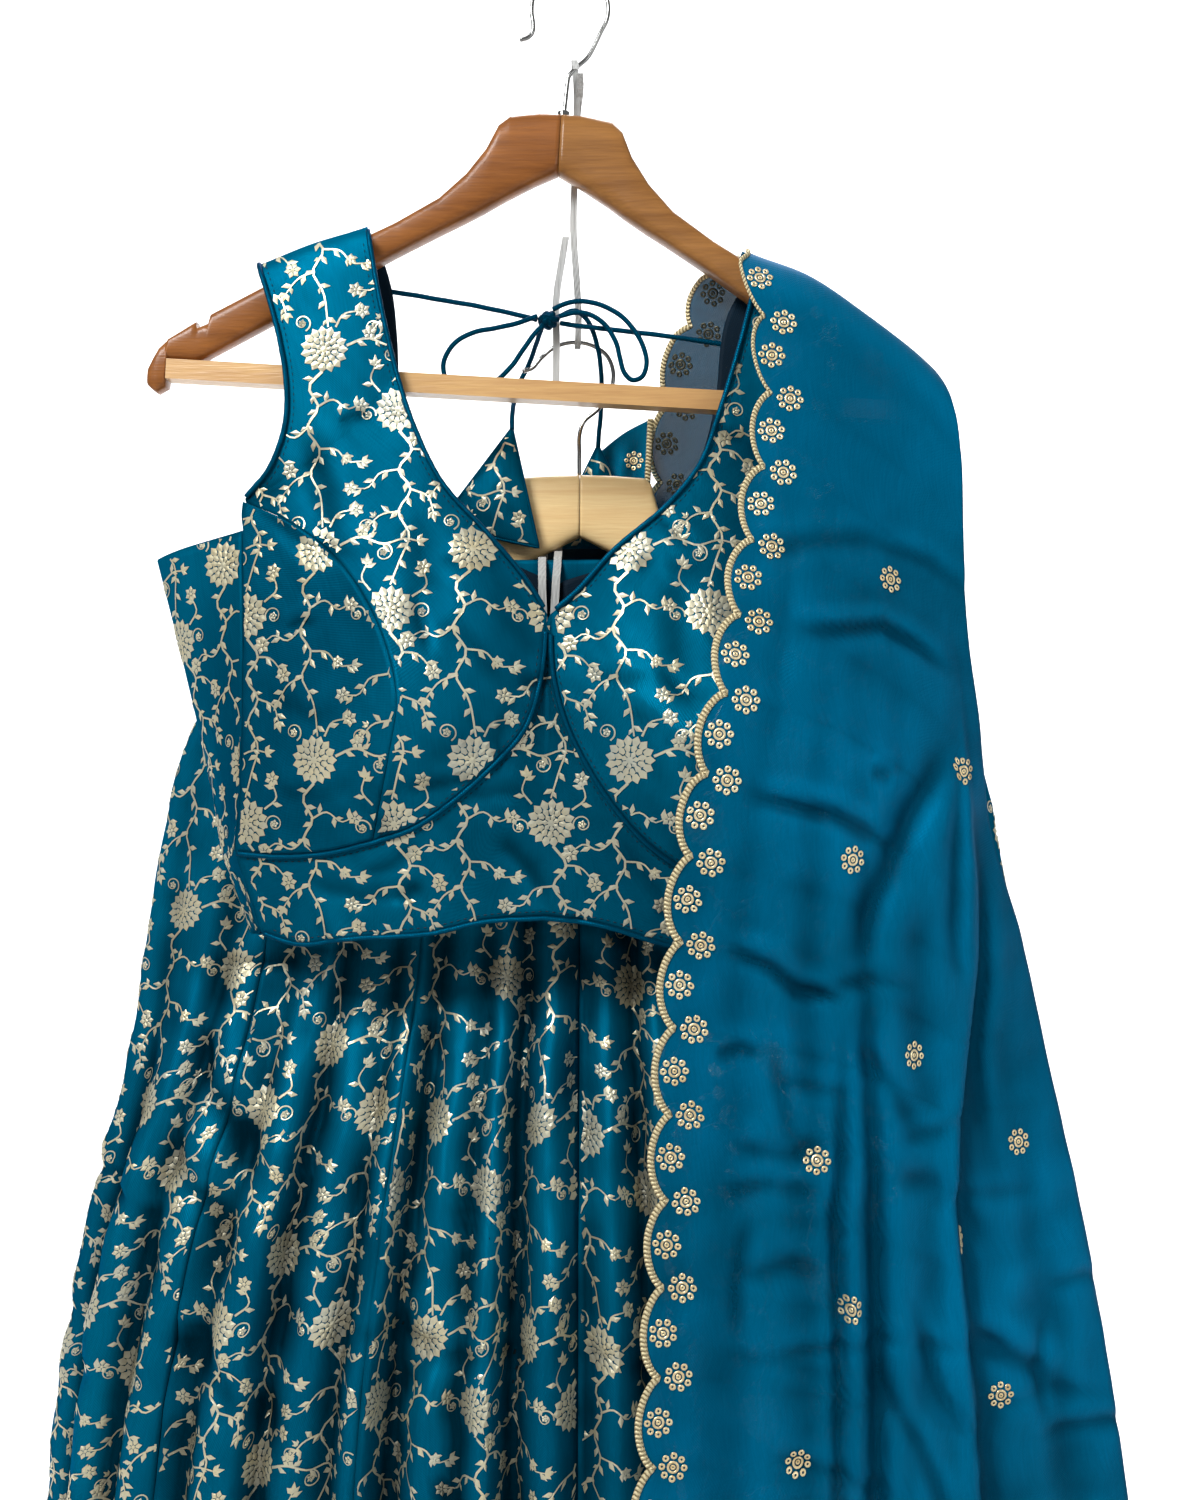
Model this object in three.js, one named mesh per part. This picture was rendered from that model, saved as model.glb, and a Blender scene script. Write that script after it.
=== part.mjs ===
// Lehenga set on a hanger: a choli, a gathered skirt and a sheer dupatta.
// Millimetres, +Z up, +X to the viewer's right, +Y away from the viewer.
// The origin is the hook's seat, where the large hanger hangs on a rail.
import * as THREE from "three";

// Driving dimensions of the hangers
const HOOK_WIRE = 1.2;
const HOOK_RADIUS = 21.2;
const HOOK_CENTRE_Z = -20;
const HANGER_TILT = THREE.MathUtils.degToRad(3.3);
const SEAM_GAP = 0.3;
const BAR_SIDE = 10.6;
const BAR_TOP_Z = -231;
const BAR_Y = -16.5;
const BAR_HALF = 203;
const SMALL_HANGER_X = 5;
const SMALL_HANGER_Y = 33;
const SMALL_HOOK_WIRE = 1.25;

// Driving dimensions of the cloth
const CHOLI_WALL = 1.3;
const PIPING_RADIUS = 1.5;
const CORD_RADIUS = 1.4;
const SKIRT_WALL = 1.5;
const SKIRT_CENTRE_X = 5;
const SKIRT_TOP_Z = -336;
const SKIRT_HEM_Z = -1340;
const WAIST_TOP_Z = -322;
const KALI_COUNT = 12;
const SECTION_POWER = 2.5;
const DUPATTA_WALL = 1.1;
const SCALLOP_PITCH = 39;
const SCALLOP_DEPTH = 9;
const TAPE_THICKNESS = 0.7;
const TIE_TAPE_WIDTH = 3.6;
const TIE_END_WIDTH = 4;
const SKIRT_LOOP_WIDTH = 6;
const SKIRT_TAPE_WIDTH = 4.4;

// Hanger arm, one row a station outwards from the mitre, in the hanger's own frame
const ARM_ROWS = [
  { x: 0.15, top: -79.6, bottom: -112, y: 0, half: 8 },
  { x: 12, top: -79.8, bottom: -118, y: 0, half: 8 },
  { x: 28, top: -82.4, bottom: -127.5, y: -0.3, half: 8 },
  { x: 34, top: -87.5, bottom: -131.5, y: -0.5, half: 7.9 },
  { x: 40, top: -101, bottom: -135.5, y: -0.8, half: 7.8 },
  { x: 50, top: -115.5, bottom: -141.5, y: -1.2, half: 7.6 },
  { x: 64, top: -130, bottom: -149.5, y: -1.8, half: 7.4 },
  { x: 87, top: -145.5, bottom: -163.5, y: -3, half: 7.2 },
  { x: 120, top: -164.5, bottom: -185.5, y: -5.5, half: 7 },
  { x: 150, top: -183, bottom: -205.5, y: -8.5, half: 6.8 },
  { x: 182, top: -204, bottom: -227, y: -12.5, half: 6.5 },
  { x: 183, top: -209, bottom: -227.8, y: -12.6, half: 6.5 },
  { x: 188.5, top: -212, bottom: -230.4, y: -13.4, half: 6.4 },
  { x: 189.5, top: -208.8, bottom: -230.6, y: -13.5, half: 6.4 },
  { x: 203.3, top: -219.5, bottom: -230.7, y: -15.2, half: 6.2 },
  { x: 203.6, top: -219.8, bottom: -246, y: -15.2, half: 6.2 },
  { x: 208, top: -224.5, bottom: -249, y: -15.7, half: 6 },
  { x: 213, top: -235, bottom: -246, y: -16.2, half: 5.2 },
];

// Small hanger arm, outwards from its own centre line
const SMALL_ARM_ROWS = [
  { x: 0.15, top: -270.8, bottom: -306.5, y: 0, half: 7 },
  { x: 20, top: -271.3, bottom: -316.5, y: 0, half: 7 },
  { x: 37, top: -272.6, bottom: -325.5, y: 0, half: 7 },
  { x: 41, top: -276, bottom: -327.5, y: 0, half: 7 },
  { x: 45.5, top: -292, bottom: -330, y: 0, half: 6.8 },
  { x: 54, top: -304, bottom: -334, y: 0, half: 6.6 },
  { x: 68, top: -316, bottom: -340, y: 0, half: 6.2 },
  { x: 92, top: -328, bottom: -349, y: 0, half: 5.8 },
  { x: 125, top: -342, bottom: -361, y: 0, half: 5.4 },
  { x: 152, top: -354, bottom: -371, y: 0, half: 5 },
];

// Wires, cords and tapes: each is a route of hand-placed points, x, y, z
const HOOK_SHANK = [
  [-3.4, 0, -79.1], [-2.4, 0, -70], [-1.4, 0, -61], [-0.6, 0, -57], [3.6, 0, -52.2], [9.8, 0, -46.6],
];
const HOOK_TIP = [[-20.4, 0, -27], [-20.6, 0, -32.5], [-23, 0, -35.6], [-27.6, 0, -37]];
const SMALL_HOOK_ROUTE = [
  [4.6, 0, -270.3], [4.6, 0, -258], [4.8, 0, -247], [7.4, 0, -239.6], [15.4, 0, -232.6],
  [22.6, 0, -222], [24.2, 0, -211.4], [20.6, 0, -201.8], [12, 0, -195.8], [1.4, 0, -194],
  [-9.2, 0, -196.6], [-17.4, 0, -203.2], [-22.4, 0, -208.8], [-28, 0, -210.7],
];
const TAPE_LOOP_ROUTE = [
  [3.6, -2.8, -54.4], [2.6, -2.9, -51], [2.4, -0.2, -48.6], [2.4, 2.8, -50.4], [3.4, 5, -58],
  [3.6, 9.2, -72], [3.2, 10.4, -86], [2.2, 10.8, -112], [1.6, 11.4, -140], [3, 15.6, -160],
  [4.2, 25, -182], [4, 30, -192], [3.8, 30.2, -195.8], [3.6, 32.8, -197.8], [3.6, 35.6, -195.8],
  [3.8, 35.6, -192], [4.4, 28.6, -181.6], [3.2, 18.6, -159], [1.8, 13.8, -140], [2.2, 12.6, -112],
  [3.2, 12.2, -86], [4, 11.2, -72], [5.6, 5.8, -63.4], [5.8, -1, -59], [5.4, -3.4, -57],
];
const TAPE_END_ROUTE = [
  [-2.6, 12.4, -141], [-5.6, 14.4, -158], [-8.2, 16, -175], [-8, 17, -200], [-8.4, 17, -232],
];
const DORI_LEFT_ROUTE = [
  [-99.8, 8, -173.3], [-90, 8.4, -174.6], [-80, 8.8, -176.2], [-68, 9, -178.2], [-56, 9, -180.2],
  [-44, 9, -182.6], [-32, 9, -185.2], [-24, 9, -187.2], [-18.56, 9, -188.62],
];
const DORI_RIGHT_ROUTE = [
  [-5.72, 9.62, -190.25], [4, 9.4, -191.8], [14, 9.2, -193], [26, 9, -194.4], [38, 9, -195.8],
  [50, 9, -197.2], [62, 8.8, -198.8], [72, 8.6, -200.4], [85.7, 8.1, -202.6],
];
const LOOP_LEFT_ROUTE = [
  [-18.3, 5.1, -187.7], [-28, 4.6, -191.4], [-40, 4.4, -194.4], [-52, 4.4, -196.6],
  [-61, 4.4, -200.6], [-67.4, 4.4, -207], [-70.4, 4.4, -215], [-68.6, 4.4, -223.4],
  [-61.4, 4.4, -228.2], [-51, 4.4, -228], [-41, 4.4, -223.8], [-32.4, 4.4, -215.6], [-26, 4.4, -206.4],
  [-20.4, 4.6, -198.6], [-15.13, 5.43, -192.5],
];
const LOOP_RIGHT_ROUTE = [
  [-9.6, 4.7, -184.2], [-2.6, 4.4, -181], [7, 4.2, -179.8], [17, 4.4, -181.8], [27, 4.4, -187],
  [35, 4.4, -195], [40.6, 4.4, -205], [42.4, 4.4, -214.6], [40, 4.4, -221.6], [34.6, 4.4, -223.4],
  [30, 4.4, -219.4], [27.6, 4.4, -211], [25.2, 4.4, -202], [19.8, 4.4, -193.4], [12, 4.2, -187.6],
  [3, 4.2, -186], [-5.9, 4.8, -188],
];
const TAIL_LEFT_ROUTE = [
  [-16.01, 13.01, -191.51], [-18.6, 21, -195.4], [-21.4, 31, -199.4], [-25, 37.8, -206],
  [-29, 38, -214], [-31.4, 33, -223], [-32.8, 25, -232.4], [-33.2, 19.6, -240], [-33.2, 18, -247.75],
];
const TAIL_RIGHT_ROUTE = [
  [-7.7, 13.7, -185.9], [2, 13, -182.2], [8.6, 13.2, -186.4], [12.8, 14.4, -194],
  [15.6, 18.6, -203], [17.2, 25.4, -213], [17.4, 34, -223.4], [17, 42.4, -233.6], [16, 47, -242.4],
  [15.4, 48, -251],
];
const KNOT = { x: -12, y: 9, z: -188.8, rx: 6.2, ry: 6.2, rz: 5 };
// The skirt's centre tapes, behind the small hanger, under it and forward into the neck
const SKIRT_TAPE_LEFT_ROUTE = [
  [-16, 40.8, -309], [-16, 40.8, -316.4], [-16, 38.6, -318.9], [-16, 30, -318.9], [-16, 21, -319.8],
  [-16, 14.6, -320.6], [-15.8, 9, -327], [-15.6, 4.6, -334], [-15.4, 3.4, -342], [-15, 2.4, -352],
  [-14.6, 1.6, -362],
];
const SKIRT_TAPE_RIGHT_ROUTE = [
  [-7.6, 40.8, -303], [-7.6, 40.8, -312], [-7.6, 38.6, -314.9], [-7.4, 30, -315], [-7.2, 21, -318],
  [-7.2, 14.6, -320.6], [-7.4, 9, -327], [-7.8, 4.4, -334], [-8.2, 3.4, -342], [-8.8, 2.2, -353],
  [-9.2, 1.4, -364],
];
const LATKAN_ROWS = [
  { name: "latkan_left", apex: [-33.2, -247], left: [-75, -302], right: [-18.2, -314.5], y: 18 },
  { name: "latkan_right", apex: [15.4, -250.2], left: [-14.5, -310], right: [43.5, -309.5], y: 48 },
];

// Choli edges, each from its upper or left end, x, y, z
const STRAP_OUTER_LEFT = [
  [-168, -6.2, -164.8], [-167.6, -15, -166.4], [-165.6, -20.4, -172], [-159.5, -24, -190],
  [-153, -27, -214.5], [-150, -27.6, -237], [-151, -27, -256], [-159, -26, -278], [-174.5, -24, -296],
];
const STRAP_TOP_LEFT = [[-168, -6.2, -164.8], [-139, -6, -152.4], [-110.2, -4.6, -143.6]];
const NECK_LEFT = [
  [-110.2, -4.6, -143.6], [-109.6, -13, -145], [-108, -18.6, -151], [-104.6, -22, -170],
  [-98.6, -27, -199], [-90.6, -30, -231], [-80.6, -35, -260], [-66, -39.4, -289], [-42, -42.4, -316],
  [-22, -43.6, -340], [-10.8, -44, -358],
];
const PRINCESS_LEFT = [
  [-174.5, -24, -296], [-149.4, -36, -307.7], [-123.9, -48, -325.5], [-104.5, -60, -348.7],
  [-90, -71, -378], [-84.6, -75.4, -404.1], [-89.6, -69, -431.8], [-96.5, -54, -456],
  [-102.2, -42, -477.4],
];
const ARMHOLE_FRONT_LEFT = [[-174.2, -24, -311.3], [-175.2, -24, -304], [-174.5, -24, -296]];
const SIDE_SEAM_LEFT = [
  [-174.2, -24, -311.3], [-172.8, -29, -352], [-172.6, -31, -402], [-174.2, -29, -446],
  [-177.9, -26, -483.8],
];
const UNDERBUST_OUTER_LEFT = [
  [-177.9, -26, -483.8], [-152, -32, -485.4], [-125, -37.6, -483], [-102.2, -42, -477.4],
];
const UNDERBUST_INNER_LEFT = [
  [-102.2, -42, -477.4], [-80, -45.4, -469.6], [-57, -47.4, -453.6], [-36, -47, -434.4],
  [-22.4, -46, -418], [-14.6, -45, -394], [-10.8, -44, -358],
];
const MIDRIFF_SIDE_LEFT = [[-177.9, -26, -483.8], [-171.5, -24, -504], [-165.1, -22, -526.4]];
const HEM_LEFT = [[-165.1, -22, -526.4], [-143.4, -28, -532], [-117.3, -34, -528.4], [-90, -37, -526.6]];
const HEM_MIDDLE_LEFT = [
  [-90, -37, -526.6], [-72.5, -38, -525], [-44.2, -39, -518.8], [-12.3, -39.6, -516.6],
];

const STRAP_OUTER_RIGHT = [
  [156, -9.8, -196.5], [155, -18, -199], [153, -23, -204], [147, -25.4, -220], [141.5, -27, -243],
  [139, -28, -262], [141, -27, -282], [149, -26, -303], [163, -24, -320],
];
const STRAP_TOP_RIGHT = [[102, -4.6, -161.4], [129, -6.6, -174.5], [156, -9.8, -196.5]];
const NECK_RIGHT = [
  [102, -4.6, -161.4], [102, -13, -163], [101.4, -18.6, -168.4], [99, -22, -181], [94.4, -26.4, -200],
  [88.4, -29.6, -222], [79, -34, -252], [69.4, -38.4, -278], [52.6, -41.6, -300], [22.8, -43.4, -326],
  [4.4, -44, -346.4], [-9.2, -44, -358],
];
const PRINCESS_RIGHT = [
  [163, -24, -320], [139, -36, -331], [114, -48, -349], [95, -60, -372], [81.4, -71, -400],
  [76, -75.4, -426], [80, -69, -454], [86.4, -54, -479], [92, -42, -500.4],
];
const ARMHOLE_FRONT_RIGHT = [[163, -24, -320], [164, -24, -328], [163.4, -24, -335]];
const SIDE_SEAM_RIGHT = [
  [163.4, -24, -335], [162.4, -29, -375], [162, -31, -424], [163.6, -29, -468], [167, -26, -506],
];
const UNDERBUST_OUTER_RIGHT = [[92, -42, -500.4], [115, -37.6, -506], [142, -32, -508], [167, -26, -506]];
const UNDERBUST_INNER_RIGHT = [
  [-9.2, -44, -358], [-8, -45, -388], [-2.2, -46, -412], [8.6, -47, -435], [25, -47.4, -460],
  [42.6, -46, -479], [65, -44, -493.6], [92, -42, -500.4],
];
const MIDRIFF_SIDE_RIGHT = [[167, -26, -506], [160.6, -24, -527], [154, -22, -548]];
const HEM_RIGHT = [[84, -37.6, -539.6], [108, -34, -545], [134, -28, -550], [154, -22, -548]];
const HEM_MIDDLE_RIGHT = [
  [-12.3, -39.6, -516.6], [16, -39.6, -520.4], [48, -39, -530], [84, -37.6, -539.6],
];

// Side pieces run from the back seam round the fold to the front seam
const SIDE_TOP_LEFT = [
  [-186, 9.2, -327], [-222, 9.6, -325.4], [-229.4, 5, -324], [-222, -3, -321.6], [-174.2, -24, -311.3],
];
const SIDE_HEM_LEFT = [
  [-150, 9.2, -531], [-171, 8.4, -531.4], [-176.2, 3.6, -531], [-172, -6, -529.6], [-165.1, -22, -526.4],
];
const SIDE_TOP_RIGHT = [
  [163.4, -24, -335], [209, -3, -345.6], [216, 5, -348], [209, 9.6, -350], [174, 9.2, -350.6],
];
const SIDE_HEM_RIGHT = [
  [154, -22, -548], [161, -6, -551.6], [165.2, 3.6, -553], [160, 8.4, -553.4], [139, 9.2, -553],
];

// Back halves, with their straps over the hanger
const BACK_OUTER_LEFT = [
  [-168, -5.8, -164.8], [-167.4, 2, -166.4], [-165, 5.4, -172], [-158, 6.8, -190], [-152, 7.4, -215],
  [-151, 8, -250], [-158, 8.6, -285], [-170, 9, -311], [-186, 9.2, -327],
];
const BACK_TOP_LEFT = [[-168, -5.8, -164.8], [-139, -5.6, -152.4], [-110.2, -4.2, -143.6]];
const BACK_NECK_LEFT = [
  [-110.2, -4.2, -143.6], [-109, 3.6, -144.8], [-106, 6.6, -151], [-99.4, 7.6, -172], [-96.4, 8, -198],
  [-95, 8.6, -226], [-88, 9, -258], [-70, 9.2, -290], [-40, 9.2, -320], [-8, 9.2, -336],
];
const BACK_OUTER_RIGHT = [
  [156, -9.2, -196.5], [155, -1, -199], [153, 3.6, -204], [147, 6, -220], [141.6, 7, -245],
  [140, 8, -280], [146, 8.6, -312], [158, 9, -336], [174, 9.2, -350.6],
];
const BACK_TOP_RIGHT = [[102, -4.2, -161.4], [129, -5.6, -174.5], [156, -9.2, -196.5]];
const BACK_NECK_RIGHT = [
  [102, -4.2, -161.4], [100.6, 3.6, -163], [97, 6.6, -169], [87, 7.6, -188], [83.6, 8, -204],
  [81.6, 8.6, -228], [76, 9, -256], [62, 9.2, -290], [34, 9.2, -320], [-7.6, 9.2, -336],
];

// Skirt sections, one row a level
const SKIRT_ROWS = [
  { z: -322, halfWidth: 168, front: 14, back: 67, fold: 0.5 },
  { z: -336, halfWidth: 170, front: 13.6, back: 68, fold: 0.8 },
  { z: -380, halfWidth: 204, front: 13.6, back: 74, fold: 1.6 },
  { z: -426, halfWidth: 231, front: 13.8, back: 80, fold: 2.6 },
  { z: -485, halfWidth: 246, front: 14, back: 88, fold: 4 },
  { z: -550, halfWidth: 257, front: 11, back: 98, fold: 7.5 },
  { z: -610, halfWidth: 263, front: -16, back: 108, fold: 13 },
  { z: -690, halfWidth: 283, front: -38, back: 122, fold: 16 },
  { z: -780, halfWidth: 298, front: -54, back: 138, fold: 18 },
  { z: -900, halfWidth: 310, front: -68, back: 156, fold: 20 },
  { z: -1100, halfWidth: 345, front: -88, back: 184, fold: 23 },
  { z: -1340, halfWidth: 386, front: -108, back: 214, fold: 26 },
];
// Folds of the gathered skirt: place along the girth at the top and at the hem
// (0 left side, 0.25 front centre, 0.5 right side, 0.75 back centre), half width of the valley and depth
const SKIRT_FOLDS = [
  { top: 0.022, hem: 0.03, width: 0.012, depth: 0.55 },
  { top: 0.062, hem: 0.052, width: 0.01, depth: 0.75 },
  { top: 0.1, hem: 0.086, width: 0.012, depth: 0.6 },
  { top: 0.128, hem: 0.122, width: 0.009, depth: 0.9 },
  { top: 0.155, hem: 0.15, width: 0.01, depth: 0.7 },
  { top: 0.178, hem: 0.176, width: 0.009, depth: 1.15 },
  { top: 0.202, hem: 0.204, width: 0.009, depth: 0.75 },
  { top: 0.222, hem: 0.228, width: 0.008, depth: 1.2 },
  { top: 0.25, hem: 0.256, width: 0.01, depth: 0.8 },
  { top: 0.276, hem: 0.284, width: 0.008, depth: 1.1 },
  { top: 0.303, hem: 0.312, width: 0.01, depth: 0.75 },
  { top: 0.333, hem: 0.342, width: 0.011, depth: 0.95 },
  { top: 0.372, hem: 0.378, width: 0.011, depth: 0.7 },
  { top: 0.41, hem: 0.416, width: 0.012, depth: 0.85 },
  { top: 0.452, hem: 0.456, width: 0.012, depth: 0.65 },
];
const BACK_FOLD_COUNT = 14;

// Dupatta, front stretch, one row for each fall below the shoulder line: X of the border and of the free
// edge, and Y at the border (lift) and at the free edge (side)
const DUPATTA_FRONT_ROWS = [
  { drop: 0, border: 99, edge: 197, lift: -5.8, side: -16 },
  { drop: 4, border: 100, edge: 200, lift: -18, side: -22 },
  { drop: 12, border: 102, edge: 203, lift: -27, side: -29 },
  { drop: 40, border: 107, edge: 207.6, lift: -36, side: -31 },
  { drop: 80, border: 109, edge: 209, lift: -45, side: -31 },
  { drop: 130, border: 102, edge: 211.6, lift: -57, side: -29 },
  { drop: 185, border: 91, edge: 218, lift: -75, side: -32 },
  { drop: 235, border: 81, edge: 223, lift: -91, side: -34 },
  { drop: 300, border: 66, edge: 245, lift: -93, side: -24 },
  { drop: 370, border: 58, edge: 263, lift: -84, side: -16 },
  { drop: 450, border: 53.5, edge: 280, lift: -83, side: -22 },
  { drop: 540, border: 49, edge: 293, lift: -87, side: -32 },
  { drop: 640, border: 42, edge: 303, lift: -93, side: -42 },
  { drop: 800, border: 36, edge: 318, lift: -106, side: -62 },
  { drop: 1020, border: 30, edge: 336, lift: -124, side: -86 },
];
// Vertical folds of the front stretch: place from border to free edge at the top and below, width, depth
const DUPATTA_FRONT_FOLDS = [
  { top: 0.14, low: 0.12, width: 0.05, depth: 3, from: 0.2 },
  { top: 0.33, low: 0.26, width: 0.05, depth: 5, from: 0.3 },
  { top: 0.5, low: 0.38, width: 0.03, depth: 12, from: 0.42 },
  { top: 0.66, low: 0.5, width: 0.06, depth: 6, from: 0.3 },
  { top: 0.84, low: 0.9, width: 0.05, depth: 5, from: 0.5 },
];
// Where the upper layer of the front stretch ends and steps back, along its width
const LAYER_STEP = { at: 0.9, lowAt: 0.64, width: 0.045, back: 20, from: 0.2, to: 0.45 };
const DUPATTA_BACK_ROWS = [
  { drop: 0, border: 97, edge: 197, lift: -5.2, side: -15.4 },
  { drop: 4, border: 95, edge: 200, lift: 4, side: -8 },
  { drop: 12, border: 88, edge: 203, lift: 14, side: 4 },
  { drop: 40, border: 72, edge: 208, lift: 28, side: 24 },
  { drop: 80, border: 61, edge: 211, lift: 48, side: 54 },
  { drop: 130, border: 56, edge: 214, lift: 73, side: 80 },
  { drop: 170, border: 52, edge: 222, lift: 86, side: 90 },
  { drop: 260, border: 46, edge: 242, lift: 104, side: 98 },
  { drop: 370, border: 42, edge: 268, lift: 126, side: 106 },
  { drop: 480, border: 40, edge: 288, lift: 146, side: 116 },
  { drop: 700, border: 36, edge: 318, lift: 188, side: 142 },
  { drop: 980, border: 32, edge: 340, lift: 230, side: 176 },
];
const DUPATTA_BACK_FOLDS = [
  { top: 0.18, low: 0.15, width: 0.05, depth: 6, from: 0.25 },
  { top: 0.4, low: 0.36, width: 0.05, depth: 9, from: 0.2 },
  { top: 0.62, low: 0.58, width: 0.06, depth: 8, from: 0.25 },
  { top: 0.82, low: 0.8, width: 0.05, depth: 7, from: 0.3 },
];
// The shoulder line that the dupatta crosses, above the right arm
const SHOULDER_LINE = [
  { x: 60, z: -140 },
  { x: 99, z: -157.4 },
  { x: 130, z: -169.6 },
  { x: 160, z: -190.5 },
  { x: 185, z: -211 },
  { x: 197, z: -223 },
  { x: 204, z: -231 },
];
// Levels where the dupatta's walls have a row, as falls below the shoulder line
const FRONT_DROPS = [
  0, 4, 11, 26, 48, 76, 110, 148, 188, 228, 270, 318, 370, 430, 500, 580, 670, 780, 900, 1020,
];
const BACK_DROPS = [0, 4, 11, 26, 50, 82, 120, 165, 220, 290, 370, 460, 570, 700, 840, 980];
// The turned-over corner of the back stretch, seen beside the neck: upper and lower edge
const FLAP_TOP = [[16, 58, -252], [31, 55, -241], [47.5, 52, -233]];
const FLAP_BOTTOM = [[6, 58.6, -290], [24, 57, -292], [45, 54.6, -292]];
const SCALLOP_ROWS = 3;
const SCALLOP_START = 16;
const STRIP_GAP = 0.9;
const SHOULDER_LOW_Z = -232;

function material(name, color, roughness, metalness = 0) {
  const made = new THREE.MeshStandardMaterial({ color, roughness, metalness, side: THREE.DoubleSide });
  made.name = name;
  return made;
}

const brocade = material("brocade", 0x07587a, 0.45);
const piping = material("piping", 0x0a4a66, 0.5);
const cord = material("cord", 0x0a4f6c, 0.6);
const organza = material("organza", 0x0a6a92, 0.6);
const braid = material("braid", 0xcbb27a, 0.5);
const darkWood = material("varnished_wood", 0xa5642f, 0.45);
const paleWood = material("pale_wood", 0xdcb67c, 0.6);
const chrome = material("chrome", 0xc8ccd0, 0.2, 1);
const cotton = material("cotton_tape", 0xe6e6e2, 0.9);

const object = new THREE.Group();
const hangerFrame = new THREE.Group();
hangerFrame.rotation.y = HANGER_TILT;
object.add(hangerFrame);

function addPiece(name, geometry, finish, parent = object) {
  const mesh = new THREE.Mesh(geometry, finish);
  mesh.name = name;
  parent.add(mesh);
  return mesh;
}

// A smooth value through a table: knots rise, slopes are averaged, pieces are cubic
function smooth(knots, values, t) {
  const last = knots.length - 1;
  let i = 0;
  while (i < last - 1 && t > knots[i + 1]) i += 1;
  const slope = (k) => (values[k + 1] - values[k]) / (knots[k + 1] - knots[k]);
  const tangent = (k) => {
    if (k === 0) return slope(0);
    if (k === last) return slope(last - 1);
    return (slope(k - 1) + slope(k)) / 2;
  };
  const h = knots[i + 1] - knots[i];
  const s = Math.min(Math.max((t - knots[i]) / h, 0), 1);
  const a = values[i];
  const b = values[i + 1];
  const ta = tangent(i) * h;
  const tb = tangent(i + 1) * h;
  return (2 * s ** 3 - 3 * s ** 2 + 1) * a + (s ** 3 - 2 * s ** 2 + s) * ta
    + (3 * s ** 2 - 2 * s ** 3) * b + (s ** 3 - s ** 2) * tb;
}

// An edge is a smooth curve through its points, with its parameter in step with its length
function edge(points) {
  const knots = [0];
  for (let i = 1; i < points.length; i += 1) {
    knots.push(knots[i - 1] + Math.hypot(...points[i].map((value, axis) => value - points[i - 1][axis])));
  }
  const total = knots[knots.length - 1];
  const scaled = knots.map((knot) => knot / total);
  return (t) => new THREE.Vector3(...[0, 1, 2].map((axis) => smooth(scaled, points.map((p) => p[axis]), t)));
}

// Two or more edges end to end; each takes its share of the parameter
function chain(...spans) {
  return (t) => {
    let start = 0;
    for (const span of spans) {
      if (t <= start + span.share + 1e-9) return span.curve(Math.min((t - start) / span.share, 1));
      start += span.share;
    }
    return spans[spans.length - 1].curve(1);
  };
}

// A surface blended between four edges: left and right run down, top and bottom run to the right
function blendEdges({ left, right, top, bottom }) {
  const cornerA = top(0);
  const cornerB = top(1);
  const cornerC = bottom(0);
  const cornerD = bottom(1);
  return (u, v) => {
    const across = left(v).multiplyScalar(1 - u).addScaledVector(right(v), u);
    const down = top(u).multiplyScalar(1 - v).addScaledVector(bottom(u), v);
    const corners = new THREE.Vector3()
      .addScaledVector(cornerA, (1 - u) * (1 - v)).addScaledVector(cornerB, u * (1 - v))
      .addScaledVector(cornerC, (1 - u) * v).addScaledVector(cornerD, u * v);
    return across.add(down).sub(corners);
  };
}

// A closed wall over a grid: the outer face is surface(u, v), the inner one lies inward by the thickness
function wall({ surface, across, down, thickness, inward, round = false, places = null }) {
  const columns = round ? across : across + 1;
  const outer = [];
  const inner = [];
  for (let i = 0; i < columns; i += 1) {
    for (let j = 0; j <= down; j += 1) {
      const u = i / across;
      const v = places ? places[j] : j / down;
      const point = surface(u, v);
      outer.push(point);
      inner.push(point.clone().addScaledVector(inward(u, v, point), thickness));
    }
  }
  const count = outer.length;
  const at = (i, j) => (i % columns) * (down + 1) + j;
  const faces = [];
  const quad = (a, b, c, d) => faces.push(a, b, c, a, c, d);
  for (let i = 0; i < across; i += 1) {
    for (let j = 0; j < down; j += 1) {
      quad(at(i, j), at(i, j + 1), at(i + 1, j + 1), at(i + 1, j));
      quad(at(i, j) + count, at(i + 1, j) + count, at(i + 1, j + 1) + count, at(i, j + 1) + count);
    }
    quad(at(i, 0), at(i + 1, 0), at(i + 1, 0) + count, at(i, 0) + count);
    quad(at(i, down), at(i, down) + count, at(i + 1, down) + count, at(i + 1, down));
  }
  if (!round) {
    for (let j = 0; j < down; j += 1) {
      quad(at(0, j), at(0, j) + count, at(0, j + 1) + count, at(0, j + 1));
      quad(at(across, j), at(across, j + 1), at(across, j + 1) + count, at(across, j) + count);
    }
  }
  return meshFrom([...outer, ...inner], faces);
}

// A closed mesh whose faces point out: they are turned round where the volume comes out negative
function meshFrom(points, faces) {
  let volume = 0;
  for (let k = 0; k < faces.length; k += 3) {
    const [a, b, c] = [points[faces[k]], points[faces[k + 1]], points[faces[k + 2]]];
    volume += a.dot(b.clone().cross(c));
  }
  const geometry = new THREE.BufferGeometry();
  const numbers = points.flatMap((p) => [p.x, p.y, p.z]);
  geometry.setAttribute("position", new THREE.Float32BufferAttribute(numbers, 3));
  geometry.setIndex(volume < 0 ? [...faces].reverse() : faces);
  geometry.computeVertexNormals();
  return geometry;
}

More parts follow.
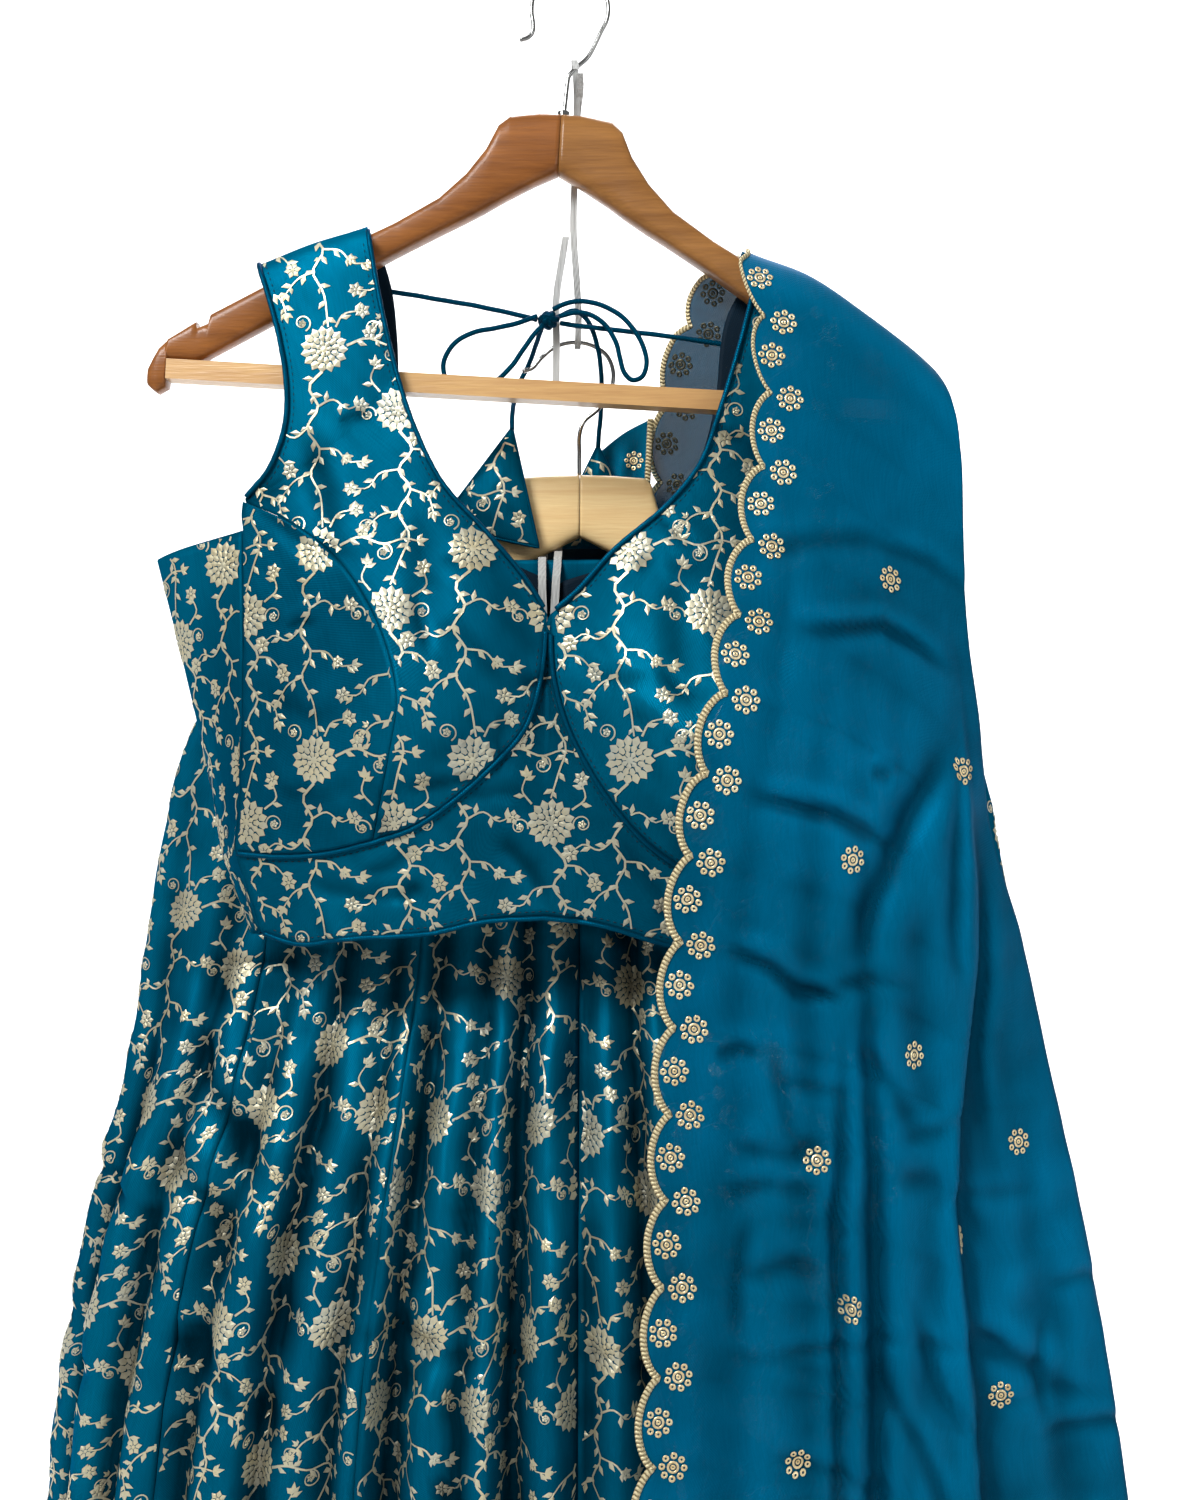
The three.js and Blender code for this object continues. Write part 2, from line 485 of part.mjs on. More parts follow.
// Skin over a row of closed sections that all have the same number of points
function loft(sections) {
  const count = sections[0].length;
  const faces = [];
  for (let k = 0; k < sections.length - 1; k += 1) {
    for (let i = 0; i < count; i += 1) {
      const a = k * count + i;
      const b = k * count + ((i + 1) % count);
      faces.push(a, a + count, b + count, a, b + count, b);
    }
  }
  const end = (sections.length - 1) * count;
  for (let i = 1; i < count - 1; i += 1) {
    faces.push(0, i, i + 1);
    faces.push(end, end + i + 1, end + i);
  }
  return meshFrom(sections.flat(), faces);
}

// A wooden arm: eight-sided sections with softened corners, one a row; side is -1 left or 1 right
function woodenArm(rows, side, centreX, centreY) {
  const chamfer = 2;
  const sections = rows.map((row) => {
    const x = centreX + side * row.x;
    const y = centreY + row.y;
    const c = Math.min(chamfer, (row.top - row.bottom) / 4);
    const ring = [
      [y - row.half, row.bottom + c], [y - row.half, row.top - c], [y - row.half + c, row.top],
      [y + row.half - c, row.top], [y + row.half, row.top - c], [y + row.half, row.bottom + c],
      [y + row.half - c, row.bottom], [y - row.half + c, row.bottom],
    ];
    return ring.map(([py, pz]) => new THREE.Vector3(x, py, pz));
  });
  return loft(sections);
}

// A round cord or wire along a route
function roundAlong(route, radius, steps, sides = 8) {
  const section = new THREE.Shape();
  for (let i = 0; i < sides; i += 1) {
    const angle = (2 * Math.PI * i) / sides;
    section[i === 0 ? "moveTo" : "lineTo"](radius * Math.cos(angle), radius * Math.sin(angle));
  }
  section.closePath();
  const curve = new THREE.CatmullRomCurve3(route.map((p) => new THREE.Vector3(...p)), false, "centripetal");
  return new THREE.ExtrudeGeometry(section, { steps, bevelEnabled: false, extrudePath: curve });
}

// A flat tape whose width lies along X
function tapeAlong(route, width, thickness, steps) {
  const curve = new THREE.CatmullRomCurve3(route.map((p) => new THREE.Vector3(...p)), false, "centripetal");
  const acrossTape = new THREE.Vector3(1, 0, 0);
  const sections = [];
  for (let k = 0; k <= steps; k += 1) {
    const point = curve.getPointAt(k / steps);
    const facing = curve.getTangentAt(k / steps).cross(acrossTape).normalize();
    const corner = (w, t) => point.clone().addScaledVector(acrossTape, (w * width) / 2)
      .addScaledVector(facing, (t * thickness) / 2);
    sections.push([corner(-1, -1), corner(1, -1), corner(1, 1), corner(-1, 1)]);
  }
  return loft(sections);
}

// A bead of piping: a rounded strip that follows a seam, just outside the panels
function pipingAlong(curve, steps, offset, from = 0, to = 1) {
  const sides = 5;
  const sections = [];
  for (let k = 0; k <= steps; k += 1) {
    const t = from + ((to - from) * k) / steps;
    const point = curve(t).add(offset);
    const ahead = curve(Math.min(t + 0.01, 1)).sub(curve(Math.max(t - 0.01, 0))).normalize();
    const outwards = new THREE.Vector3(0, -1, 0).addScaledVector(ahead, ahead.y).normalize();
    const sideways = ahead.clone().cross(outwards);
    const ring = [];
    for (let i = 0; i < sides; i += 1) {
      const angle = (2 * Math.PI * i) / sides;
      ring.push(point.clone().addScaledVector(outwards, PIPING_RADIUS * Math.cos(angle))
        .addScaledVector(sideways, -PIPING_RADIUS * Math.sin(angle)));
    }
    sections.push(ring);
  }
  return loft(sections);
}

function buildHangers() {
  addPiece("hanger_left", woodenArm(ARM_ROWS, -1, 0, 0), darkWood, hangerFrame);
  addPiece("hanger_right", woodenArm(ARM_ROWS, 1, 0, 0), darkWood, hangerFrame);
  const bar = new THREE.BoxGeometry(2 * BAR_HALF, BAR_SIDE, BAR_SIDE);
  const barMesh = addPiece("hanger_bar", bar, paleWood, hangerFrame);
  barMesh.position.set(0, BAR_Y, BAR_TOP_Z - BAR_SIDE / 2);

  const round = [];
  const arcSteps = 11;
  for (let i = 0; i <= arcSteps; i += 1) {
    const angle = THREE.MathUtils.degToRad(-36 + (222 * i) / arcSteps);
    round.push([HOOK_RADIUS * Math.cos(angle), 0, HOOK_CENTRE_Z + HOOK_RADIUS * Math.sin(angle)]);
  }
  addPiece("hanger_hook", roundAlong([...HOOK_SHANK, ...round, ...HOOK_TIP], HOOK_WIRE, 36), chrome);

  addPiece("small_hanger_left", woodenArm(SMALL_ARM_ROWS, -1, SMALL_HANGER_X, SMALL_HANGER_Y), paleWood);
  addPiece("small_hanger_right", woodenArm(SMALL_ARM_ROWS, 1, SMALL_HANGER_X, SMALL_HANGER_Y), paleWood);
  const smallRoute = SMALL_HOOK_ROUTE.map(([x, y, z]) => [x, y + SMALL_HANGER_Y, z]);
  addPiece("small_hanger_hook", roundAlong(smallRoute, SMALL_HOOK_WIRE, 26), chrome);
  addPiece("tape_loop", tapeAlong(TAPE_LOOP_ROUTE, TIE_TAPE_WIDTH, TAPE_THICKNESS, 48), cotton);
  addPiece("tape_end", tapeAlong(TAPE_END_ROUTE, TIE_END_WIDTH, TAPE_THICKNESS, 10), cotton);
}

function buildDori() {
  const knot = new THREE.SphereGeometry(1, 12, 8);
  knot.scale(KNOT.rx, KNOT.ry, KNOT.rz);
  addPiece("dori_knot", knot, cord).position.set(KNOT.x, KNOT.y, KNOT.z);
  addPiece("dori_left", roundAlong(DORI_LEFT_ROUTE, CORD_RADIUS, 10), cord);
  addPiece("dori_right", roundAlong(DORI_RIGHT_ROUTE, CORD_RADIUS, 11), cord);
  addPiece("dori_loop_left", roundAlong(LOOP_LEFT_ROUTE, CORD_RADIUS, 20), cord);
  addPiece("dori_loop_right", roundAlong(LOOP_RIGHT_ROUTE, CORD_RADIUS, 21), cord);
  addPiece("dori_tail_left", roundAlong(TAIL_LEFT_ROUTE, CORD_RADIUS, 12), cord);
  addPiece("dori_tail_right", roundAlong(TAIL_RIGHT_ROUTE, CORD_RADIUS, 13), cord);
  for (const row of LATKAN_ROWS) {
    addPiece(row.name, stuffedTriangle(row), brocade);
  }
}

// A small stuffed triangle: full in the middle, flat at its edges
function stuffedTriangle({ apex, left, right, y }) {
  const rows = 6;
  const columns = 5;
  const fullness = 5;
  const edgeHalf = 0.6;
  const face = (side) => (u, v) => {
    const x = apex[0] + v * ((left[0] + u * (right[0] - left[0])) - apex[0]);
    const z = apex[1] + v * ((left[1] + u * (right[1] - left[1])) - apex[1]);
    const swell = 4 * u * (1 - u) * Math.min(1, 3 * v * (1 - v) + 0.4 * v * (1 - v));
    return new THREE.Vector3(x, y + side * (edgeHalf + fullness * swell), z);
  };
  const front = face(-1);
  const back = face(1);
  const narrow = 0.02;
  const surface = (u, v) => front(u, narrow + (1 - narrow) * v);
  const points = [];
  for (const side of [surface, (u, v) => back(u, narrow + (1 - narrow) * v)]) {
    for (let i = 0; i <= columns; i += 1) {
      for (let j = 0; j <= rows; j += 1) points.push(side(i / columns, j / rows));
    }
  }
  const count = points.length / 2;
  const at = (i, j) => i * (rows + 1) + j;
  const faces = [];
  const quad = (a, b, c, d) => faces.push(a, b, c, a, c, d);
  for (let i = 0; i < columns; i += 1) {
    for (let j = 0; j < rows; j += 1) {
      quad(at(i, j), at(i, j + 1), at(i + 1, j + 1), at(i + 1, j));
      quad(at(i, j) + count, at(i + 1, j) + count, at(i + 1, j + 1) + count, at(i, j + 1) + count);
    }
    quad(at(i, 0), at(i + 1, 0), at(i + 1, 0) + count, at(i, 0) + count);
    quad(at(i, rows), at(i, rows) + count, at(i + 1, rows) + count, at(i + 1, rows));
  }
  for (let j = 0; j < rows; j += 1) {
    quad(at(0, j), at(0, j) + count, at(0, j + 1) + count, at(0, j + 1));
    quad(at(columns, j), at(columns, j + 1), at(columns, j + 1) + count, at(columns, j) + count);
  }
  return meshFrom(points, faces);
}

// Draws a surface in from its own edges by half a seam gap on every side
function inset(surface, gap = SEAM_GAP) {
  return (u, v) => {
    const width = surface(1, v).distanceTo(surface(0, v));
    const height = surface(u, 1).distanceTo(surface(u, 0));
    const marginU = gap / 2 / Math.max(width, 1);
    const marginV = gap / 2 / Math.max(height, 1);
    return surface(marginU + (1 - 2 * marginU) * u, marginV + (1 - 2 * marginV) * v);
  };
}

// Front cloth lies back by its thickness; over the shoulder it lies down onto the arm
function frontInward(u, v, point) {
  const shoulder = THREE.MathUtils.clamp((point.y + 19) / 14, 0, 1);
  return new THREE.Vector3(0, 1 - shoulder * 0.9, -shoulder).normalize();
}

function backInward(u, v, point) {
  const shoulder = THREE.MathUtils.clamp((5 - point.y) / 10, 0, 1);
  return new THREE.Vector3(0, -1 + shoulder * 0.9, -shoulder).normalize();
}

// A direction that turns from one bearing to another in plan, in degrees from +X
function turning(fromAngle, toAngle) {
  return (u) => {
    const angle = THREE.MathUtils.degToRad(fromAngle + (toAngle - fromAngle) * u);
    return new THREE.Vector3(Math.cos(angle), Math.sin(angle), 0);
  };
}

function choliPanel(name, edges, across, down, inward, places) {
  const surface = inset(blendEdges(edges));
  addPiece(name, wall({ surface, across, down, thickness: CHOLI_WALL, inward, places }), brocade);
}

// The inner cup's outer side is the armhole and then the bust seam
const CUP_ROWS = 13;
const SEAM_ROWS = 8;
const INNER_COLUMNS = 7;
const OUTER_COLUMNS = 4;
const FRONT_COLUMNS = 2 * (INNER_COLUMNS + OUTER_COLUMNS);
const MIDRIFF_ROWS = 3;
const SIDE_COLUMNS = 7;
const SIDE_ROWS = 10;
const STRAP_SHARE = (CUP_ROWS - SEAM_ROWS) / CUP_ROWS;
const BACK_STRAP_ROWS = 7;
// Places of the strap's rows along it, closer over the shoulder
const STRAP_PLACES = [0, 0.07, 0.16, 0.42, 0.72];
const BACK_STRAP_PLACES = [0, 0.05, 0.12, 0.3, 0.5, 0.68, 0.84];

function rowPlaces(strapPlaces) {
  const strapRows = strapPlaces.length;
  return Array.from({ length: CUP_ROWS + 1 }, (_, row) => (
    row < strapRows ? (strapPlaces[row] * strapRows) / CUP_ROWS : row / CUP_ROWS
  ));
}

function buildCholi() {
  const strapLeft = chain({ share: STRAP_SHARE, curve: edge(STRAP_OUTER_LEFT) },
    { share: 1 - STRAP_SHARE, curve: edge(PRINCESS_LEFT) });
  const strapRight = chain({ share: STRAP_SHARE, curve: edge(STRAP_OUTER_RIGHT) },
    { share: 1 - STRAP_SHARE, curve: edge(PRINCESS_RIGHT) });
  choliPanel("cup_inner_left", {
    left: strapLeft, right: edge(NECK_LEFT), top: edge(STRAP_TOP_LEFT), bottom: edge(UNDERBUST_INNER_LEFT),
  }, INNER_COLUMNS, CUP_ROWS, frontInward, rowPlaces(STRAP_PLACES));
  choliPanel("cup_inner_right", {
    left: edge(NECK_RIGHT), right: strapRight, top: edge(STRAP_TOP_RIGHT),
    bottom: edge(UNDERBUST_INNER_RIGHT),
  }, INNER_COLUMNS, CUP_ROWS, frontInward, rowPlaces(STRAP_PLACES));
  choliPanel("cup_outer_left", {
    left: edge(SIDE_SEAM_LEFT), right: edge(PRINCESS_LEFT), top: edge(ARMHOLE_FRONT_LEFT),
    bottom: edge(UNDERBUST_OUTER_LEFT),
  }, OUTER_COLUMNS, SEAM_ROWS, frontInward);
  choliPanel("cup_outer_right", {
    left: edge(PRINCESS_RIGHT), right: edge(SIDE_SEAM_RIGHT), top: edge(ARMHOLE_FRONT_RIGHT),
    bottom: edge(UNDERBUST_OUTER_RIGHT),
  }, OUTER_COLUMNS, SEAM_ROWS, frontInward);

  // Four spans, each with as many columns as the cup piece that it meets
  const fourSpans = (outerLeft, innerLeft, innerRight, outerRight) => chain(
    { share: OUTER_COLUMNS / FRONT_COLUMNS, curve: edge(outerLeft) },
    { share: INNER_COLUMNS / FRONT_COLUMNS, curve: edge(innerLeft) },
    { share: INNER_COLUMNS / FRONT_COLUMNS, curve: edge(innerRight) },
    { share: OUTER_COLUMNS / FRONT_COLUMNS, curve: edge(outerRight) },
  );
  const midriffTop = fourSpans(
    UNDERBUST_OUTER_LEFT, UNDERBUST_INNER_LEFT, UNDERBUST_INNER_RIGHT, UNDERBUST_OUTER_RIGHT,
  );
  const midriffHem = fourSpans(HEM_LEFT, HEM_MIDDLE_LEFT, HEM_MIDDLE_RIGHT, HEM_RIGHT);
  choliPanel("midriff_front", {
    left: edge(MIDRIFF_SIDE_LEFT), right: edge(MIDRIFF_SIDE_RIGHT), top: midriffTop, bottom: midriffHem,
  }, FRONT_COLUMNS, MIDRIFF_ROWS, frontInward);

  const sideFrontLeft = chain({ share: SEAM_ROWS / SIDE_ROWS, curve: edge(SIDE_SEAM_LEFT) },
    { share: 1 - SEAM_ROWS / SIDE_ROWS, curve: edge(MIDRIFF_SIDE_LEFT) });
  const sideFrontRight = chain({ share: SEAM_ROWS / SIDE_ROWS, curve: edge(SIDE_SEAM_RIGHT) },
    { share: 1 - SEAM_ROWS / SIDE_ROWS, curve: edge(MIDRIFF_SIDE_RIGHT) });
  const sideBackLeft = edge([SIDE_TOP_LEFT[0], SIDE_HEM_LEFT[0]]);
  const sideBackRight = edge([SIDE_TOP_RIGHT[4], SIDE_HEM_RIGHT[4]]);
  choliPanel("side_left", {
    left: sideBackLeft, right: sideFrontLeft, top: edge(SIDE_TOP_LEFT), bottom: edge(SIDE_HEM_LEFT),
  }, SIDE_COLUMNS, SIDE_ROWS, turning(-90, 90));
  choliPanel("side_right", {
    left: sideFrontRight, right: sideBackRight, top: edge(SIDE_TOP_RIGHT), bottom: edge(SIDE_HEM_RIGHT),
  }, SIDE_COLUMNS, SIDE_ROWS, turning(90, 270));

  const backShare = BACK_STRAP_ROWS / CUP_ROWS;
  const backLeftOuter = chain({ share: backShare, curve: edge(BACK_OUTER_LEFT) },
    { share: 1 - backShare, curve: sideBackLeft });
  const backRightOuter = chain({ share: backShare, curve: edge(BACK_OUTER_RIGHT) },
    { share: 1 - backShare, curve: sideBackRight });
  const centreX = -7.8;
  const hemTop = [centreX, 9.2, -511];
  const centreTop = [centreX, 9.2, -336];
  const centreLine = edge([centreTop, hemTop]);
  const neckThenCentre = (neck) => chain({ share: backShare, curve: edge(neck) },
    { share: 1 - backShare, curve: centreLine });
  const fromBack = (curve) => (t) => curve(1 - t);
  choliPanel("choli_back_left", {
    left: neckThenCentre([...BACK_NECK_LEFT.slice(0, -1), centreTop]), right: backLeftOuter,
    top: fromBack(edge(BACK_TOP_LEFT)), bottom: edge([hemTop, [-80, 9.2, -519], SIDE_HEM_LEFT[0]]),
  }, 5, CUP_ROWS, backInward, rowPlaces(BACK_STRAP_PLACES));
  choliPanel("choli_back_right", {
    left: backRightOuter, right: neckThenCentre([...BACK_NECK_RIGHT.slice(0, -1), centreTop]),
    top: fromBack(edge(BACK_TOP_RIGHT)), bottom: edge([SIDE_HEM_RIGHT[4], [70, 9.2, -528], hemTop]),
  }, 5, CUP_ROWS, backInward, rowPlaces(BACK_STRAP_PLACES));

  const lift = new THREE.Vector3(0, -PIPING_RADIUS - 2 * SEAM_GAP, 0);
  addPiece("neck_piping_left", pipingAlong(edge(NECK_LEFT), 20, lift, 0.1, 0.985), piping);
  addPiece("neck_piping_right", pipingAlong(edge(NECK_RIGHT), 20, lift, 0.1, 0.985), piping);
  addPiece("armhole_piping_left", pipingAlong(edge(STRAP_OUTER_LEFT), 12, lift, 0.09, 0.98), piping);
  addPiece("armhole_piping_right", pipingAlong(edge(STRAP_OUTER_RIGHT), 12, lift, 0.09, 0.98), piping);
  const underbustLeft = chain({ share: 0.3, curve: edge(UNDERBUST_OUTER_LEFT) },
    { share: 0.7, curve: edge(UNDERBUST_INNER_LEFT) });
  const underbustRight = chain({ share: 0.7, curve: edge(UNDERBUST_INNER_RIGHT) },
    { share: 0.3, curve: edge(UNDERBUST_OUTER_RIGHT) });
  addPiece("underbust_piping_left", pipingAlong(underbustLeft, 24, lift, 0.005, 0.95), piping);
  addPiece("underbust_piping_right", pipingAlong(underbustRight, 24, lift, 0.05, 0.995), piping);
  addPiece("hem_piping", pipingAlong(midriffHem, 26, lift, 0.005, 0.995), piping);
}

function skirtRow(key, z) {
  const knots = SKIRT_ROWS.map((row) => -row.z);
  return smooth(knots, SKIRT_ROWS.map((row) => row[key]), -z);
}

// A level of the skirt before its folds, as points evenly spaced along its girth
const SECTION_STEPS = 240;
function skirtSection(z) {
  const halfWidth = skirtRow("halfWidth", z);
  const front = skirtRow("front", z);
  const back = skirtRow("back", z);
  const middle = (front + back) / 2;
  const halfDepth = (back - front) / 2;
  const power = 2 / SECTION_POWER;
  const points = [];
  const lengths = [0];
  for (let i = 0; i <= SECTION_STEPS; i += 1) {
    const angle = Math.PI + (2 * Math.PI * i) / SECTION_STEPS;
    const c = Math.cos(angle);
    const s = Math.sin(angle);
    points.push(new THREE.Vector2(SKIRT_CENTRE_X + halfWidth * Math.sign(c) * Math.abs(c) ** power,
      middle + halfDepth * Math.sign(s) * Math.abs(s) ** power));
    if (i > 0) lengths.push(lengths[i - 1] + points[i].distanceTo(points[i - 1]));
  }
  const girth = lengths[SECTION_STEPS];
  return (place) => {
    const wanted = (((place % 1) + 1) % 1) * girth;
    let i = 0;
    while (i < SECTION_STEPS - 1 && lengths[i + 1] < wanted) i += 1;
    const share = (wanted - lengths[i]) / (lengths[i + 1] - lengths[i]);
    return points[i].clone().lerp(points[i + 1], share);
  };
}

const BACK_FOLDS = Array.from({ length: BACK_FOLD_COUNT }, (_, k) => {
  const place = 0.5 + (k + 0.5) / (2 * BACK_FOLD_COUNT) + 0.004 * Math.sin(2.3 * k);
  const drift = 0.006 * Math.sin(1.7 * k);
  return { top: place, hem: place + drift, width: 0.0105, depth: 0.75 + 0.25 * Math.sin(1.9 * k) };
});
const ALL_FOLDS = [...SKIRT_FOLDS, ...BACK_FOLDS];

// How deep the folds' valleys lie at a place: a sum of narrow bells
function foldDepth(place, z) {
  const fall = (SKIRT_TOP_Z - z) / (SKIRT_TOP_Z - SKIRT_HEM_Z);
  let depth = 0;
  for (const fold of ALL_FOLDS) {
    const centre = fold.top + (fold.hem - fold.top) * fall;
    const away = Math.abs(place - centre);
    depth += fold.depth * Math.exp(-((Math.min(away, 1 - away) / fold.width) ** 2));
  }
  return depth;
}

const sectionsByLevel = new Map();
function skirtPoint(place, z) {
  const level = z.toFixed(3);
  if (!sectionsByLevel.has(level)) sectionsByLevel.set(level, skirtSection(z));
  const section = sectionsByLevel.get(level);
  const step = 0.002;
  const here = section(place);
  const along = section(place + step).sub(section(place - step)).normalize();
  const depth = foldDepth(((place % 1) + 1) % 1, z) * skirtRow("fold", z);
  return new THREE.Vector3(here.x - along.y * depth, here.y + along.x * depth, z);
}

function skirtInward(place, z) {
  const step = 0.0015;
  const ahead = skirtPoint(place + step, z);
  const behind = skirtPoint(place - step, z);
  return new THREE.Vector3(behind.y - ahead.y, ahead.x - behind.x, 0).normalize();
}

function buildSkirt() {
  const levels = [-336, -380, -430, -490, -550, -615, -700, -830, -1050, -1340];
  const down = levels.length - 1;
  const kaliShare = 1 / KALI_COUNT;
  const levelAt = (v) => levels[Math.round(v * down)];
  for (let k = 0; k < KALI_COUNT; k += 1) {
    const girthAt = (z) => 4 * skirtRow("halfWidth", z);
    const placeAt = (u, z) => {
      const gap = SEAM_GAP / 2 / girthAt(z);
      return k * kaliShare + gap + (kaliShare - 2 * gap) * u;
    };
    addPiece(`kali_${k + 1}`, wall({
      surface: (u, v) => skirtPoint(placeAt(u, levelAt(v)), levelAt(v)),
      inward: (u, v) => skirtInward(placeAt(u, levelAt(v)), levelAt(v)),
      across: 9,
      down,
      thickness: SKIRT_WALL,
    }), brocade);
  }
  const bandTop = WAIST_TOP_Z;
  const bandBottom = SKIRT_TOP_Z + SEAM_GAP;
  addPiece("waistband", wall({
    surface: (u, v) => skirtPoint(u, bandTop + (bandBottom - bandTop) * v),
    inward: (u) => skirtInward(u, bandTop),
    across: 48,
    down: 1,
    thickness: SKIRT_WALL,
    round: true,
  }), brocade);
  for (const [name, side] of [["skirt_loop_left", -1], ["skirt_loop_right", 1]]) {
    const reach = 92;
    const overArm = -324;
    const x = SMALL_HANGER_X + side * reach;
    const route = [[19.6, -333.6], [20.6, -327.6], [25.6, overArm], [33, overArm], [40.4, overArm],
      [52, -327], [61.2, -332.6]].map(([y, z]) => [x, y, z]);
    addPiece(name, tapeAlong(route, SKIRT_LOOP_WIDTH, TAPE_THICKNESS, 12), cotton);
  }
  addPiece("skirt_tape_left", tapeAlong(SKIRT_TAPE_LEFT_ROUTE, SKIRT_TAPE_WIDTH, TAPE_THICKNESS, 16), cotton);
  addPiece("skirt_tape_right", tapeAlong(SKIRT_TAPE_RIGHT_ROUTE, SKIRT_TAPE_WIDTH, TAPE_THICKNESS, 16), cotton);
}

// Height of the shoulder line above the arm at a place along it
function shoulderZ(x) {
  return smooth(SHOULDER_LINE.map((row) => row.x), SHOULDER_LINE.map((row) => row.z), x);
}

// A stretch of the dupatta. u runs from the border to the free edge, drop is the fall below the shoulder line
function dupattaSheet(rows, folds, back, step) {
  const knots = rows.map((row) => row.drop);
  const column = (key, drop) => smooth(knots, rows.map((row) => row[key]), drop);
  const longest = knots[knots.length - 1];
  return (u, drop) => {
    const border = column("border", drop);
    const free = column("edge", drop);
    const lift = column("lift", drop);
    const side = column("side", drop);
    const x = border + (free - border) * u;
    const fall = drop / longest;
    const turn = Math.min(Math.max(u, 0), 1) ** 2;
    let y = lift + (side - lift) * turn;
    const grown = Math.min(1, drop / 120);
    for (const fold of folds) {
      const centre = fold.top + (fold.low - fold.top) * fall;
      const strength = THREE.MathUtils.smoothstep(fall, 0, fold.from) * grown;
      y -= back * fold.depth * strength * Math.exp(-(((u - centre) / fold.width) ** 2));
    }
    if (step) {
      const reach = THREE.MathUtils.smoothstep(fall, step.from, step.to);
      const at = step.at + (step.lowAt - step.at) * reach;
      const grownStep = THREE.MathUtils.smoothstep(fall, step.from * 0.6, step.to);
      y += step.back * grownStep * THREE.MathUtils.smoothstep(u, at, at + step.width) * (1 - (u - at) * 0.8);
    }
    const topZ = shoulderZ(x);
    return new THREE.Vector3(x, y, topZ - drop * (1 + (topZ - SHOULDER_LOW_Z) / longest));
  };
}

// The dupatta's scalloped edge: a strip of half-round lobes beyond the border line
function scallopStrip(sheet, widthAt, longestDrop, outwards) {
  const lobes = Math.floor(longestDrop / SCALLOP_PITCH);
  const rows = lobes * SCALLOP_ROWS;
  const lobe = (drop) => Math.sin(Math.PI * ((drop / SCALLOP_PITCH) % 1)) ** 0.6;
  return {
    surface: (u, v) => {
      const drop = SCALLOP_START + (lobes * SCALLOP_PITCH - SCALLOP_START) * v;
      const reach = STRIP_GAP + (1.6 + SCALLOP_DEPTH * lobe(drop)) * (outwards > 0 ? 1 - u : u);
      return sheet(-reach / widthAt(drop), drop);
    },
    across: 1,
    down: rows,
    thickness: DUPATTA_WALL + 0.5,
  };
}

function buildDupatta() {
  const front = dupattaSheet(DUPATTA_FRONT_ROWS, DUPATTA_FRONT_FOLDS, -1, LAYER_STEP);
  const back = dupattaSheet(DUPATTA_BACK_ROWS, DUPATTA_BACK_FOLDS, 1);
  const frontInner = (u, v, point) => {
    const shoulder = THREE.MathUtils.clamp((point.y + 24) / 12, 0, 1) * (v < 0.2 ? 1 : 0);
    return new THREE.Vector3(0, 1 - shoulder * 0.95, -shoulder).normalize();
  };
  const backInner = (u, v, point) => {
    const shoulder = THREE.MathUtils.clamp((10 - point.y) / 12, 0, 1) * (v < 0.2 ? 1 : 0);
    return new THREE.Vector3(0, -1 + shoulder * 0.95, -shoulder).normalize();
  };
  const frontDown = FRONT_DROPS.length - 1;
  const backDown = BACK_DROPS.length - 1;
  addPiece("dupatta_front", wall({
    surface: (u, v) => front(u, FRONT_DROPS[Math.round(v * frontDown)]),
    inward: frontInner,
    across: 12,
    down: frontDown,
    thickness: DUPATTA_WALL,
  }), organza);
  addPiece("dupatta_back", wall({
    surface: (u, v) => back(1 - u, BACK_DROPS[Math.round(v * backDown)]),
    inward: backInner,
    across: 9,
    down: backDown,
    thickness: DUPATTA_WALL,
  }), organza);
  const width = (rows) => (drop) => {
    const knots = rows.map((row) => row.drop);
    return smooth(knots, rows.map((row) => row.edge - row.border), drop);
  };
  const frontStrip = scallopStrip(front, width(DUPATTA_FRONT_ROWS), FRONT_DROPS[frontDown], 1);
  const backStrip = scallopStrip(back, width(DUPATTA_BACK_ROWS), BACK_DROPS[backDown], -1);
  addPiece("scallops_front", wall({ ...frontStrip, inward: () => new THREE.Vector3(0, 1, 0) }), braid);
  addPiece("scallops_back", wall({ ...backStrip, inward: () => new THREE.Vector3(0, -1, 0) }), braid);
  const flap = blendEdges({
    top: edge(FLAP_TOP), bottom: edge(FLAP_BOTTOM),
    left: edge([FLAP_TOP[0], FLAP_BOTTOM[0]]), right: edge([FLAP_TOP[2], FLAP_BOTTOM[2]]),
  });
  addPiece("dupatta_flap", wall({
    surface: flap, inward: () => new THREE.Vector3(0, 1, 0), across: 4, down: 4, thickness: DUPATTA_WALL,
  }), organza);
}

buildHangers();
buildDori();
buildCholi();
buildSkirt();
buildDupatta();

export default object;
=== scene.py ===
"""Lehenga set on a hanger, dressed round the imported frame: choli, gathered skirt and sheer dupatta.

Sizes are millimetres until a mesh is made, with X to the viewer's right, Y away and Z up, and the
origin at the seat of the large hanger's hook. Cloth is a grid of points worked out as whole arrays.
"""
import math

